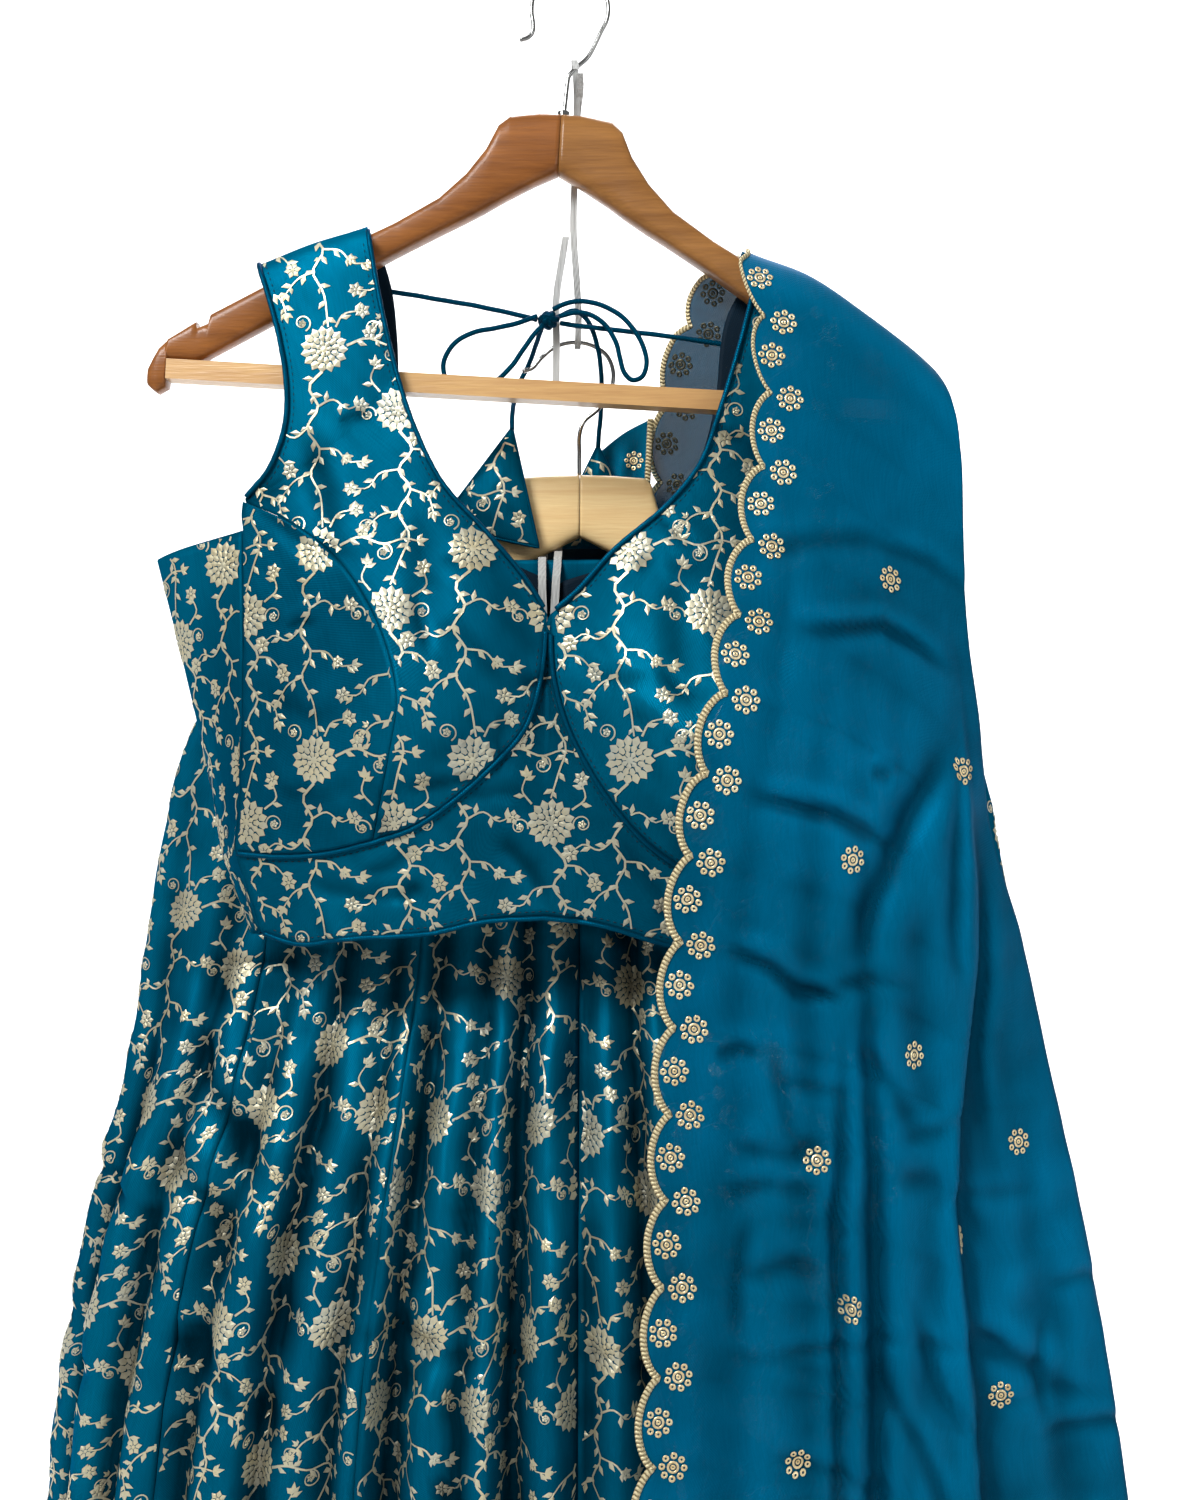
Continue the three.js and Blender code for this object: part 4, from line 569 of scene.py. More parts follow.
def joined(parts):
    """Small meshes as one: points end to end, and faces numbered on from the points before them."""
    start = np.cumsum([0] + [len(points) for points, _ in parts[:-1]])
    points = np.concatenate([points for points, _ in parts])
    return points, np.concatenate([faces + first for (_, faces), first in zip(parts, start)])


def copied_faces(faces, copies, count):
    """The faces of several copies of a mesh of count points."""
    return (faces[None] + (np.arange(copies) * count)[:, None, None]).reshape(-1, faces.shape[1])


def local_mean(grid, reach, wrap=False):
    """Each point's mean over reach points to every side, the edges carried on in a straight line."""
    for axis, steps in ((0, reach[0]), (1, reach[1])):
        steps = int(min(steps, grid.shape[axis] - 2))
        pad = [(0, 0), (0, 0), (0, 0)]
        pad[axis] = (steps + 1, steps)
        if wrap and axis == 1:
            wide = np.pad(grid, pad, mode="wrap")
        else:
            wide = np.pad(grid, pad, mode="reflect", reflect_type="odd")
        total = np.cumsum(wide, axis=axis)
        size = grid.shape[axis]
        after = np.take(total, np.arange(size) + 2 * steps + 1, axis=axis)
        before = np.take(total, np.arange(size), axis=axis)
        grid = (after - before) / (2 * steps + 1)
    return grid


def hollows(grid, outward, wrap=False):
    """How far a cloth stands out of its own mean surface, -1 in deep folds to 0.6 on ridges.

    Two means are used, one over 9 mm and one over 34 mm to each side; a step of 1.3 mm or of 6 mm
    counts as deep.
    """
    pitch = [np.linalg.norm(np.diff(grid, axis=axis), axis=-1).mean() for axis in (0, 1)]
    total = 0
    for reach, deep, share in ((9, 1.3, 0.5), (34, 6.0, 0.8)):
        points = [max(1, round(0.6 * reach / step)) for step in pitch]
        mean = local_mean(local_mean(grid, points, wrap), points, wrap)
        total = total + share * np.clip(np.sum((grid - mean) * outward, axis=-1) / deep, -1, 0.6)
    return np.clip(total, -1, 0.6)


def cloth(name, outer, outward, thickness, finish, lining=None, wrap=False):
    """A closed wall: the outer grid, the same grid moved back along its normals, and the rims.

    The bake's map holds the outer wall in its left half and the inner wall in its right half. The
    weave's map is in metres along the cloth.
    """
    rows, points_across = outer.shape[0] - 1, outer.shape[1]
    columns = points_across if wrap else points_across - 1
    points = np.concatenate([outer.reshape(-1, 3), (outer - outward * thickness).reshape(-1, 3)])
    faces = turned_to(outward[0, 0], points, [wall_faces(rows, columns, wrap)])
    one_side = rows * columns
    slots = np.zeros(len(faces[0]))
    if lining is not None:
        slots[one_side : 2 * one_side] = 1
    u, v = np.meshgrid(np.linspace(0, 1, points_across), np.linspace(0, 1, rows + 1))
    half = 0.49
    bake = np.stack([u * half, v], axis=-1).reshape(-1, 2)
    across = np.cumsum(np.linalg.norm(np.diff(outer, axis=1, prepend=outer[:, :1]), axis=-1), axis=1)
    down = np.cumsum(np.linalg.norm(np.diff(outer, axis=0, prepend=outer[:1]), axis=-1), axis=0)
    weave = np.stack([across - across[:, -1:] / 2, down], axis=-1).reshape(-1, 2) * MM
    charts = {
        "OFBake": np.concatenate([bake, bake + [1 - half, 0]]),
        "weave": np.concatenate([weave, weave]),
    }
    # how deep each point lies in a fold, which the finishes turn into painted shade
    depth = hollows(outer, outward, wrap).ravel()
    finishes = [finish] + ([lining] if lining else [])
    return new_piece(name, points, faces, finishes, slots, charts, hollow=np.concatenate([depth, depth]))


def curve_through(points, steps):
    """Points evenly spaced on the centripetal curve through a route, ends included."""
    p = np.asarray(points, float)
    p = np.concatenate([[2 * p[0] - p[1]], p, [2 * p[-1] - p[-2]]])
    gap = np.maximum(np.linalg.norm(np.diff(p, axis=0), axis=1) ** 0.5, 1e-4)[:, None]
    chord = np.diff(p, axis=0)
    inner = chord[:-1] / gap[:-1] - (p[2:] - p[:-2]) / (gap[:-1] + gap[1:]) + chord[1:] / gap[1:]
    t = np.linspace(0, 1, 40, endpoint=False)[:, None, None]
    a, b = p[1:-2], p[2:-1]
    ta, tb = inner[:-1] * gap[1:-1], inner[1:] * gap[1:-1]
    rise = 3 * t**2 - 2 * t**3
    fine = (1 - rise) * a + rise * b + (t**3 - 2 * t**2 + t) * ta + (t**3 - t**2) * tb
    fine = np.concatenate([fine.transpose(1, 0, 2).reshape(-1, 3), p[-2:-1]])
    run = run_of(fine)
    return points_at(np.linspace(0, run[-1], steps + 1), run, fine)


def frames_along(path):
    """Tangent and two normals at each point of a path, carried along it without twist."""
    tangent = unit(np.gradient(path, axis=0))
    start = np.array([0.0, 1.0, 0.0]) if abs(tangent[0, 1]) < 0.9 else np.array([1.0, 0.0, 0.0])
    normals = [unit(start - tangent[0] * np.dot(start, tangent[0]))]
    for step in tangent[1:]:
        normals.append(unit(normals[-1] - step * np.dot(normals[-1], step)))
    normals = np.array(normals)
    return tangent, normals, np.cross(tangent, normals)


def round_cord(name, path, radius, finish, sides, sideways=1.0, bumps=None):
    """A tube of circles carried along a path, wider sideways where asked, with slightly domed ends."""
    dome, girth = 0.3, 0.01
    tangent, normal, binormal = frames_along(path)
    angle = np.linspace(0, 2 * math.pi, sides, endpoint=False)
    c, s = np.cos(angle)[None, :, None], np.sin(angle)[None, :, None]
    swell = 1 if bumps is None else bumps(np.arange(len(path))[:, None, None], angle[None, :, None])
    grid = path[:, None] + (c * normal[:, None] + sideways * s * binormal[:, None]) * radius * swell
    ends = [path[:1] - tangent[:1] * dome, path[-1:] + tangent[-1:] * dome]
    points = np.concatenate([grid.reshape(-1, 3)] + ends)
    faces = turned_to(points[0] - path[0], points, tube_faces(len(path), sides))
    run = run_of(path) * MM
    around = np.linspace(0, 1, sides, endpoint=False) * girth
    weave = np.stack(np.broadcast_arrays(run[:, None], around[None, :]), axis=-1).reshape(-1, 2)
    weave = np.concatenate([weave, [[0, 0], [run[-1], 0]]])
    return new_piece(name, points, faces, [finish], charts={"weave": weave})


# Finishes


def put(tree, kind, feeds=None, **settings):
    """A node with its settings made and its inputs fed by sockets or given values."""
    node = tree.nodes.new(kind)
    for label, value in settings.items():
        setattr(node, label, value)
    for label, value in (feeds or {}).items():
        socket = node.inputs[label]
        if isinstance(value, bpy.types.NodeSocket):
            tree.links.new(value, socket)
        else:
            socket.default_value = value
    return node


def math_node(tree, operation, first, second=0.0):
    """One sum on two values."""
    return put(tree, "ShaderNodeMath", {0: first, 1: second}, operation=operation).outputs[0]


def times_plus(tree, value, factor, offset):
    """A value times a factor, plus an offset."""
    return math_node(tree, "ADD", math_node(tree, "MULTIPLY", value, factor), offset)


def mix_colours(tree, share, first, second):
    """A blend of two colours."""
    return put(tree, "ShaderNodeMix", {0: share, 6: first, 7: second}, data_type="RGBA").outputs[2]


def own_place(tree):
    """Where a point lies on its own piece."""
    return put(tree, "ShaderNodeTexCoord").outputs["Object"]


def streaks(tree, place, scales, detail, **feeds):
    """Noise drawn out along an axis: the place is first scaled by its own amount in each direction."""
    drawn = put(tree, "ShaderNodeVectorMath", {0: place, 1: scales}, operation="MULTIPLY").outputs[0]
    feeds = {"Vector": drawn, "Scale": 1.0, "Detail": detail, **feeds}
    return put(tree, "ShaderNodeTexNoise", feeds).outputs["Fac"]


def new_group(name, inputs, outputs):
    """An effect shared by several finishes, with its inputs and outputs named."""
    group = bpy.data.node_groups.new(name, "ShaderNodeTree")
    for label, kind, value in inputs:
        socket = group.interface.new_socket(label, in_out="INPUT", socket_type=kind)
        if value is not None:
            socket.default_value = value
    for label, kind in outputs:
        group.interface.new_socket(label, in_out="OUTPUT", socket_type=kind)
    return group, put(group, "NodeGroupInput").outputs, put(group, "NodeGroupOutput").inputs


VECTOR, COLOUR, VALUE = "NodeSocketVector", "NodeSocketColor", "NodeSocketFloat"


def tone_group():
    """Two colours blended by soft clouds, for cloth and metal whose colour isn't even."""
    group, given, out = new_group(
        "uneven tone",
        [("Vector", VECTOR, None), ("First", COLOUR, (1, 1, 1, 1)), ("Second", COLOUR, (0, 0, 0, 1)),
         ("Scale", VALUE, 5.0), ("Contrast", VALUE, 1.0)],
        [("Color", COLOUR), ("Mask", VALUE)],
    )
    feeds = {"Vector": given["Vector"], "Scale": given["Scale"], "Detail": 3.0}
    clouds = put(group, "ShaderNodeTexNoise", feeds)
    away = math_node(group, "SUBTRACT", clouds.outputs["Fac"], 0.5)
    spread = math_node(group, "MULTIPLY", away, given["Contrast"])
    mask = put(group, "ShaderNodeClamp", {"Value": math_node(group, "ADD", spread, 0.5)}).outputs[0]
    group.links.new(mix_colours(group, mask, given["First"], given["Second"]), out["Color"])
    group.links.new(mask, out["Mask"])
    return group


def weave_group():
    """Warp and weft as two sets of waves over each other, with slubs: a height and a shade."""
    group, given, out = new_group(
        "weave",
        [("Vector", VECTOR, None), ("Threads", VALUE, 1200.0), ("Slubs", VALUE, 0.4)],
        [("Height", VALUE), ("Shade", VALUE)],
    )
    apart = put(group, "ShaderNodeSeparateXYZ", {0: given["Vector"]}).outputs
    turn = math_node(group, "MULTIPLY", given["Threads"], math.pi)
    warp = math_node(group, "SINE", math_node(group, "MULTIPLY", apart["X"], turn))
    weft = math_node(group, "SINE", math_node(group, "MULTIPLY", apart["Y"], turn))
    crossing = math_node(group, "MULTIPLY", warp, weft)
    slub = streaks(group, given["Vector"], (900.0, 60.0, 60.0), 2.0)
    uneven = math_node(group, "MULTIPLY", slub, given["Slubs"])
    group.links.new(times_plus(group, crossing, 0.5, uneven), out["Height"])
    group.links.new(slub, out["Shade"])
    return group


def wood_group():
    """Long grain along X with darker pores, for turned and varnished wood."""
    group, given, out = new_group(
        "wood grain",
        [("Vector", VECTOR, None), ("Light", COLOUR, (1, 1, 1, 1)), ("Dark", COLOUR, (0, 0, 0, 1)),
         ("Figure", VALUE, 1.0)],
        [("Color", COLOUR), ("Roughness", VALUE), ("Height", VALUE)],
    )
    bent = streaks(group, given["Vector"], (9.0, 70.0, 130.0), 5.0, Distortion=0.6)
    pores = streaks(group, given["Vector"], (60.0, 700.0, 900.0), 2.0)
    rings = math_node(group, "MULTIPLY", bent, 0.75)
    both = math_node(group, "ADD", rings, math_node(group, "MULTIPLY", pores, 0.3))
    share = put(group, "ShaderNodeMapRange", {"Value": both, "From Min": 0.36, "From Max": 0.68}).outputs[0]
    figure = math_node(group, "MULTIPLY", share, given["Figure"])
    group.links.new(mix_colours(group, figure, given["Light"], given["Dark"]), out["Color"])
    group.links.new(times_plus(group, pores, 0.2, 0.22), out["Roughness"])
    group.links.new(pores, out["Height"])
    return group


def shade_group():
    """Painted shade and light: darkens a colour where the cloth's own depth says it lies in a fold, and lifts
    it on a ridge.
    """
    group, given, out = new_group(
        "fold shade",
        [("Color", COLOUR, (1, 1, 1, 1)), ("Hollow", VALUE, 0.0), ("Strength", VALUE, 0.6)],
        [("Color", COLOUR)],
    )
    lift = times_plus(group, given["Hollow"], given["Strength"], 1.0)
    shaded = put(group, "ShaderNodeVectorMath", {0: given["Color"], "Scale": lift}, operation="SCALE")
    group.links.new(shaded.outputs[0], out["Color"])
    return group


TONE = tone_group()
WEAVE = weave_group()
SHADE = shade_group()
WOOD = wood_group()


def new_finish(name, **fixed):
    """A material and its one shader; what is the same all over is set on the shader's own inputs."""
    finish = bpy.data.materials.new(name)
    finish.use_nodes = True
    shader = finish.node_tree.nodes["Principled BSDF"]
    for label, value in fixed.items():
        shader.inputs[label.replace("_", " ")].default_value = value
    return finish, finish.node_tree, shader


def use(tree, group, **feeds):
    """A shared effect placed in a finish with its own values."""
    return put(tree, "ShaderNodeGroup", feeds, node_tree=group)


def raise_by(tree, shader, height, distance, strength=1.0):
    """Feeds a height to the shader's normal as a bump of that many metres."""
    bump = put(tree, "ShaderNodeBump", {"Height": height, "Distance": distance, "Strength": strength})
    tree.links.new(bump.outputs[0], shader.inputs["Normal"])


def colour(red, green, blue):
    """A colour given as it looks on a screen, 0 to 255, turned to linear light."""
    levels = np.array([red, green, blue]) / 255
    linear = np.where(levels <= 0.04045, levels / 12.92, ((levels + 0.055) / 1.055) ** 2.4)
    return (*linear.tolist(), 1.0)


def roughen(tree, shader, mask, rough):
    """Roughness between a low and a high value, by a mask."""
    low, high = rough
    tree.links.new(times_plus(tree, mask, high - low, low), shader.inputs["Roughness"])


def shade_by_depth(tree, shader, plain, strength):
    """The base colour with painted fold shade: darker where the piece's depth values say it lies in a fold,
    lighter on a ridge.
    """
    depth = put(tree, "ShaderNodeAttribute", attribute_name="hollow").outputs["Fac"]
    shaded = use(tree, SHADE, Color=plain, Hollow=depth, Strength=strength)
    tree.links.new(shaded.outputs["Color"], shader.inputs["Base Color"])


def cloth_finish(name, first, second, threads, relief, rough, chart=True, slubs=0.4, depth=0.72, **fixed):
    """Woven cloth: uneven tone on the object's own place, weave along the cloth, and painted shade in its
    folds as strong as depth.
    """
    finish, tree, shader = new_finish(name, **fixed)
    place = own_place(tree)
    tone = use(tree, TONE, Vector=place, First=first, Second=second, Scale=9.0, Contrast=1.6)
    along = put(tree, "ShaderNodeUVMap", uv_map="weave").outputs[0] if chart else place
    weave = use(tree, WEAVE, Vector=along, Threads=threads, Slubs=slubs)
    shade = times_plus(tree, weave.outputs["Shade"], 0.34, 0.83)
    tinted = put(tree, "ShaderNodeVectorMath", {0: tone.outputs["Color"], "Scale": shade}, operation="SCALE")
    shade_by_depth(tree, shader, tinted.outputs[0], depth)
    roughen(tree, shader, tone.outputs["Mask"], rough)
    raise_by(tree, shader, weave.outputs["Height"], relief)
    return finish


def thread_finish(name, first, second, rough, pitch, **fixed):
    """Metal thread: two tones in small clouds, painted shade where the cloth under it folds, and a fine twist
    across it.
    """
    finish, tree, shader = new_finish(name, **fixed)
    place = own_place(tree)
    tone = use(tree, TONE, Vector=place, First=first, Second=second, Scale=160.0, Contrast=2.4)
    large = use(tree, TONE, Vector=place, First=first, Second=second, Scale=14.0, Contrast=3.0)
    mixed = mix_colours(tree, 0.45, tone.outputs["Color"], large.outputs["Color"])
    shade_by_depth(tree, shader, mixed, 0.55)
    roughen(tree, shader, tone.outputs["Mask"], rough)
    twist = put(tree, "ShaderNodeTexNoise", {"Vector": place, "Scale": pitch, "Detail": 2.0})
    raise_by(tree, shader, twist.outputs["Fac"], 0.0002, 0.7)
    return finish


def braid_finish(name, light, dark, pitch, **fixed):
    """Braid: cross ridges a pitch apart along its length, with dark slits between them."""
    finish, tree, shader = new_finish(name, **fixed)
    along = put(tree, "ShaderNodeUVMap", uv_map="weave").outputs[0]
    apart = put(tree, "ShaderNodeSeparateXYZ", {0: along}).outputs
    bend = math_node(tree, "SINE", math_node(tree, "MULTIPLY", apart["Y"], 1256.0))
    slant = math_node(tree, "MULTIPLY", bend, 1.1)
    turn = math_node(tree, "MULTIPLY", apart["X"], 2 * math.pi / pitch)
    wave = math_node(tree, "SINE", math_node(tree, "ADD", turn, slant))
    slit = put(tree, "ShaderNodeMapRange", {"Value": wave, "From Min": -0.95, "From Max": -0.1}).outputs[0]
    tree.links.new(mix_colours(tree, slit, dark, light), shader.inputs["Base Color"])
    raise_by(tree, shader, wave, 0.0005, 0.9)
    return finish


def wood_finish(name, light, dark, figure, **fixed):
    """Wood with its grain along the arm, under varnish where the coat is set."""
    finish, tree, shader = new_finish(name, **fixed)
    grain = use(tree, WOOD, Vector=own_place(tree), Light=light, Dark=dark, Figure=figure)
    tree.links.new(grain.outputs["Color"], shader.inputs["Base Color"])
    tree.links.new(grain.outputs["Roughness"], shader.inputs["Roughness"])
    raise_by(tree, shader, grain.outputs["Height"], 0.00025, 0.6)
    return finish


def metal_finish(name, first, second, rough):
    """Polished metal with faint clouding in its tone and gloss."""
    finish, tree, shader = new_finish(name, Metallic=1.0)
    tone = use(tree, TONE, Vector=own_place(tree), First=first, Second=second, Scale=40.0, Contrast=0.5)
    tree.links.new(tone.outputs["Color"], shader.inputs["Base Color"])
    tree.links.new(math_node(tree, "MULTIPLY", tone.outputs["Mask"], rough), shader.inputs["Roughness"])
    return finish


def organza_finish(name, first, second, clear, edge_on, layered=(), lets_light=0.0):
    """Sheer cloth: it shows what is behind it, lets a share of the light through to it, and closes up
    where it is seen edge on and where it hangs in layers: past a place along an axis, from start to end."""
    finish = cloth_finish(
        name, first, second, 1100.0, 0.00012, (0.4, 0.55), slubs=0.8, depth=0.5,
        Metallic=0.25, Specular_IOR_Level=0.05, Specular_Tint=GLOSS,
    )
    tree = finish.node_tree
    shader = tree.nodes["Principled BSDF"]
    rim = put(tree, "ShaderNodeLayerWeight", {"Blend": 0.35}).outputs["Facing"]
    closed = times_plus(tree, rim, edge_on, clear)
    for axis, start, end in layered:
        along = put(tree, "ShaderNodeSeparateXYZ", {0: own_place(tree)}).outputs[axis]
        limits = {"Value": along, "From Min": start, "From Max": end, "To Max": 0.3}
        closed = math_node(tree, "ADD", closed, put(tree, "ShaderNodeMapRange", limits).outputs[0])
    closed = put(tree, "ShaderNodeClamp", {"Value": closed}).outputs[0]
    shadow = put(tree, "ShaderNodeLightPath").outputs["Is Shadow Ray"]
    kept = math_node(tree, "SUBTRACT", 1.0, math_node(tree, "MULTIPLY", shadow, lets_light))
    tree.links.new(math_node(tree, "MULTIPLY", closed, kept), shader.inputs["Alpha"])
    return finish


GLOSS = colour(0, 150, 190)
SATIN = cloth_finish(
    "teal brocade ground", colour(0, 88, 116), colour(0, 62, 86), 1500.0, 0.00012, (0.34, 0.46),
    Metallic=0.38, Specular_IOR_Level=0.0, Specular_Tint=GLOSS,
)
PIPING = cloth_finish(
    "teal satin piping", colour(0, 76, 104), colour(0, 54, 78), 1400.0, 0.0001, (0.3, 0.42),
    Metallic=0.5, Specular_IOR_Level=0.05, Specular_Tint=GLOSS,
)
CORD = cloth_finish(
    "teal cord cover", colour(0, 68, 94), colour(0, 46, 68), 1100.0, 0.0003, (0.4, 0.55),
    Metallic=0.4, Specular_IOR_Level=0.05, Specular_Tint=GLOSS,
)
STITCH = cloth_finish(
    "sewing thread", colour(0, 44, 62), colour(0, 30, 44), 1400.0, 0.0001, (0.5, 0.6), chart=False,
    Specular_IOR_Level=0.2,
)
LINING = cloth_finish(
    "navy lining", colour(3, 30, 46), colour(2, 20, 34), 1300.0, 0.0001, (0.55, 0.7),
    Specular_IOR_Level=0.1,
)
ORGANZA = organza_finish(
    "teal organza", colour(0, 100, 140), colour(0, 76, 104), 0.85, 0.15,
    layered=[("X", 0.165, 0.205)], lets_light=0.75,
)
ORGANZA_BACK = organza_finish(
    "organza wrong side", colour(8, 92, 128), colour(2, 72, 100), 0.84, 0.16,
    layered=[("X", 0.1, 0.14), ("Z", -0.27, -0.305)],
)
ORGANZA_FOLDED = organza_finish("teal organza, folded", colour(0, 96, 130), colour(0, 74, 100), 0.97, 0.03)
ZARI = thread_finish(
    "gold and silver thread", colour(199, 188, 152), colour(171, 174, 162), (0.36, 0.5), 900.0,
    Metallic=0.55,
)
BRAID = braid_finish(
    "scallop braid", colour(248, 232, 186), colour(126, 108, 70), 0.0021, Metallic=0.3, Roughness=0.5,
)
SEQUIN = thread_finish(
    "sequin rings", colour(252, 238, 196), colour(208, 182, 130), (0.22, 0.4), 500.0, Metallic=0.5,
)
# The sequin work seen from the cloth's wrong side: a darker copy of the sequin rings, partly the reverse of
# the work and partly painted shade.
SEQUIN_BACKS_SHADED = thread_finish(
    "sequins from behind, painted shade", colour(96, 92, 66), colour(50, 58, 58), (0.35, 0.5), 500.0, Metallic=0.6,
)
# The two arms are one wood: the left arm's darker copy is painted shade and the right arm's lighter copy is
# painted light, for how each arm faces the light.
WOOD_SHADED_LEFT = wood_finish(
    "varnished wood, painted shade, left", colour(148, 92, 44), colour(100, 56, 24), 0.7,
    Coat_Weight=0.12, Coat_Roughness=0.2, Specular_IOR_Level=0.2,
)
WOOD_LIT_RIGHT = wood_finish(
    "varnished wood, painted light, right", colour(156, 108, 58), colour(108, 68, 32), 0.7,
    Coat_Weight=0.1, Coat_Roughness=0.2, Specular_IOR_Level=0.2,
)
PALE_WOOD = wood_finish(
    "pale wood", colour(208, 166, 108), colour(172, 126, 76), 0.75, Coat_Weight=0.1, Coat_Roughness=0.3,
)
# A brighter copy of the pale wood for the small hanger: painted light against the shade that the blouse and
# dupatta cast on it.
SMALL_WOOD_LIT = wood_finish(
    "pale wood, small hanger, painted light", colour(255, 224, 164), colour(234, 190, 128), 0.7, Coat_Weight=0.1,
)
CHROME = metal_finish("chrome wire", colour(176, 176, 174), colour(112, 113, 114), 0.24)
COTTON = cloth_finish(
    "white cotton tape", colour(196, 196, 192), colour(170, 172, 172), 900.0, 0.0004, (0.85, 0.95),
    chart=False,
)


# View and light


def place_camera():
    """A level lens square to the garment, as far as the photo was taken from."""
    lens = bpy.data.cameras.new("camera")
    lens.sensor_fit = "VERTICAL"
    lens.sensor_height = SENSOR
    lens.lens = SENSOR * -CAMERA_PLACE[1] / VIEW_HEIGHT
    camera = bpy.data.objects.new("camera", lens)
    camera.location = [value * MM for value in CAMERA_PLACE]
    camera.rotation_euler = (math.pi / 2, 0, 0)
    bpy.context.scene.collection.objects.link(camera)
    bpy.context.scene.camera = camera


def add_lamp(name, place, target, size, watts):
    """A square soft lamp turned to its target."""
    lamp = bpy.data.lights.new(name, "AREA")
    lamp.size = size
    lamp.energy = watts
    holder = bpy.data.objects.new(name, lamp)
    holder.location = place
    way = np.subtract(target, place)
    dip = math.atan2(-way[2], math.hypot(way[0], way[1]))
    holder.rotation_euler = (math.pi / 2 - dip, 0, math.atan2(way[1], way[0]) - math.pi / 2)
    bpy.context.scene.collection.objects.link(holder)


def light_studio():
    """Even white surroundings, a soft key lamp from the upper left and a weaker one from the right."""
    world = bpy.data.worlds.new("studio")
    world.use_nodes = True
    world.node_tree.nodes["Background"].inputs["Color"].default_value = (1, 1, 1, 1)
    world.node_tree.nodes["Background"].inputs["Strength"].default_value = 0.32
    bpy.context.scene.world = world
    bpy.context.scene.view_settings.view_transform = "Standard"
    middle = (0, 0.05, -0.5)
    add_lamp("key", (-0.75, -1.25, 0.75), (0, 0.05, -0.35), 0.6, 34)
    add_lamp("fill", (2.2, -1.9, -0.2), middle, 1.4, 14)
    add_lamp("top", (0.2, 0.9, 1.3), middle, 1.0, 20)
    add_lamp("wall", (0, 0.8, 0.5), (0, 2.6, -0.3), 3.0, 120)


def build_stage():
    """A pale floor that sweeps up into a wall: an arc between two straight stretches."""
    floor_z, wall_y, bend, reach = -1.5, 2.6, 1.0, 6.0
    turn = np.linspace(0, math.pi / 2, 25)
    y = np.concatenate([[-reach], wall_y - bend + bend * np.sin(turn), [wall_y]])
    z = np.concatenate([[floor_z], floor_z + bend - bend * np.cos(turn), [reach]])
    x = np.linspace(-reach, reach, 9)
    grid = np.stack(np.broadcast_arrays(x[None, :], y[:, None], z[:, None]), axis=-1) / MM
    finish, tree, shader = new_finish("pale studio floor")
    pale, paler = (0.86, 0.86, 0.87, 1), (0.9, 0.9, 0.9, 1)
    tone = use(tree, TONE, Vector=own_place(tree), First=paler, Second=pale, Scale=0.6, Contrast=1.0)
    tree.links.new(tone.outputs["Color"], shader.inputs["Base Color"])
    shader.inputs["Roughness"].default_value = 0.9
    mesh = bpy.data.meshes.new("studio_floor")
    mesh.from_pydata((grid.reshape(-1, 3) * MM).tolist(), [], grid_faces(len(y) - 1, len(x) - 1).tolist())
    mesh.materials.append(finish)
    floor = bpy.data.objects.new("studio_floor", mesh)
    bpy.context.scene.collection.objects.link(floor)


# Ties


def build_cord(node, route, steps):
    """One stretch of the tie: a cloth-covered cord with a faint twist in its cover."""
    path = curve_through(route, steps)
    twist = lambda k, angle: 1 + 0.035 * np.sin(angle + k * 0.55) + 0.02 * np.sin(3 * angle - k * 0.31)
    piece = round_cord(f"{node}_cord", path, CORD_RADIUS, CORD, 14, bumps=twist)
    replace_node(node)


def build_knot():
    """The tie's knot: three short turns of the cord round each other, drawn up tight."""
    x, y, z = KNOT["centre"]
    rx, ry, rz = KNOT["radii"]
    turn = np.linspace(0, 2 * math.pi, 60)
    for k, (tilt, size) in enumerate(((0.2, 0.74), (1.25, 0.68), (2.25, 0.62))):
        across, wave = np.cos(turn) * rx * size, 0.25 * rz * np.sin(2 * turn)
        c, s = math.cos(tilt), math.sin(tilt)
        ring = np.stack([across * c - wave * s, np.sin(turn) * ry * size, across * s + wave * c], axis=-1)
        path = ring * [1, 1, 0.85] + [x, y, z]
        piece = round_cord(f"dori_knot_turn_{k + 1}", path, KNOT["cord_radius"], CORD, 12)
        replace_node("dori_knot")


def latkan_faces(row):
    """Front and back of a stuffed triangle: straight sides, fullest in the middle, puckered edges."""
    steps = 30
    apex, left, right = (np.array(row[key], float) for key in ("apex", "left", "right"))
    u = np.linspace(0, 1, steps + 1)[None, :]
    v = (0.02 + 0.98 * np.linspace(0, 1, steps + 1) ** 0.9)[:, None]
    base = left + (right - left) * u[..., None]
    flat = apex + v[..., None] * (base - apex)
    swell = 4 * u * (1 - u) * np.minimum(1, 3.4 * v * (1 - v))
    pucker = 0.35 * unevenness(flat[..., 0], flat[..., 1], 9, 5)
    faces = []
    for side in (-1, 1):
        y = row["y"] + side * (0.6 + 5 * swell**0.75 + pucker * np.minimum(1, 6 * swell))
        faces.append(np.stack([flat[..., 0], y, flat[..., 1]], axis=-1))
    return faces


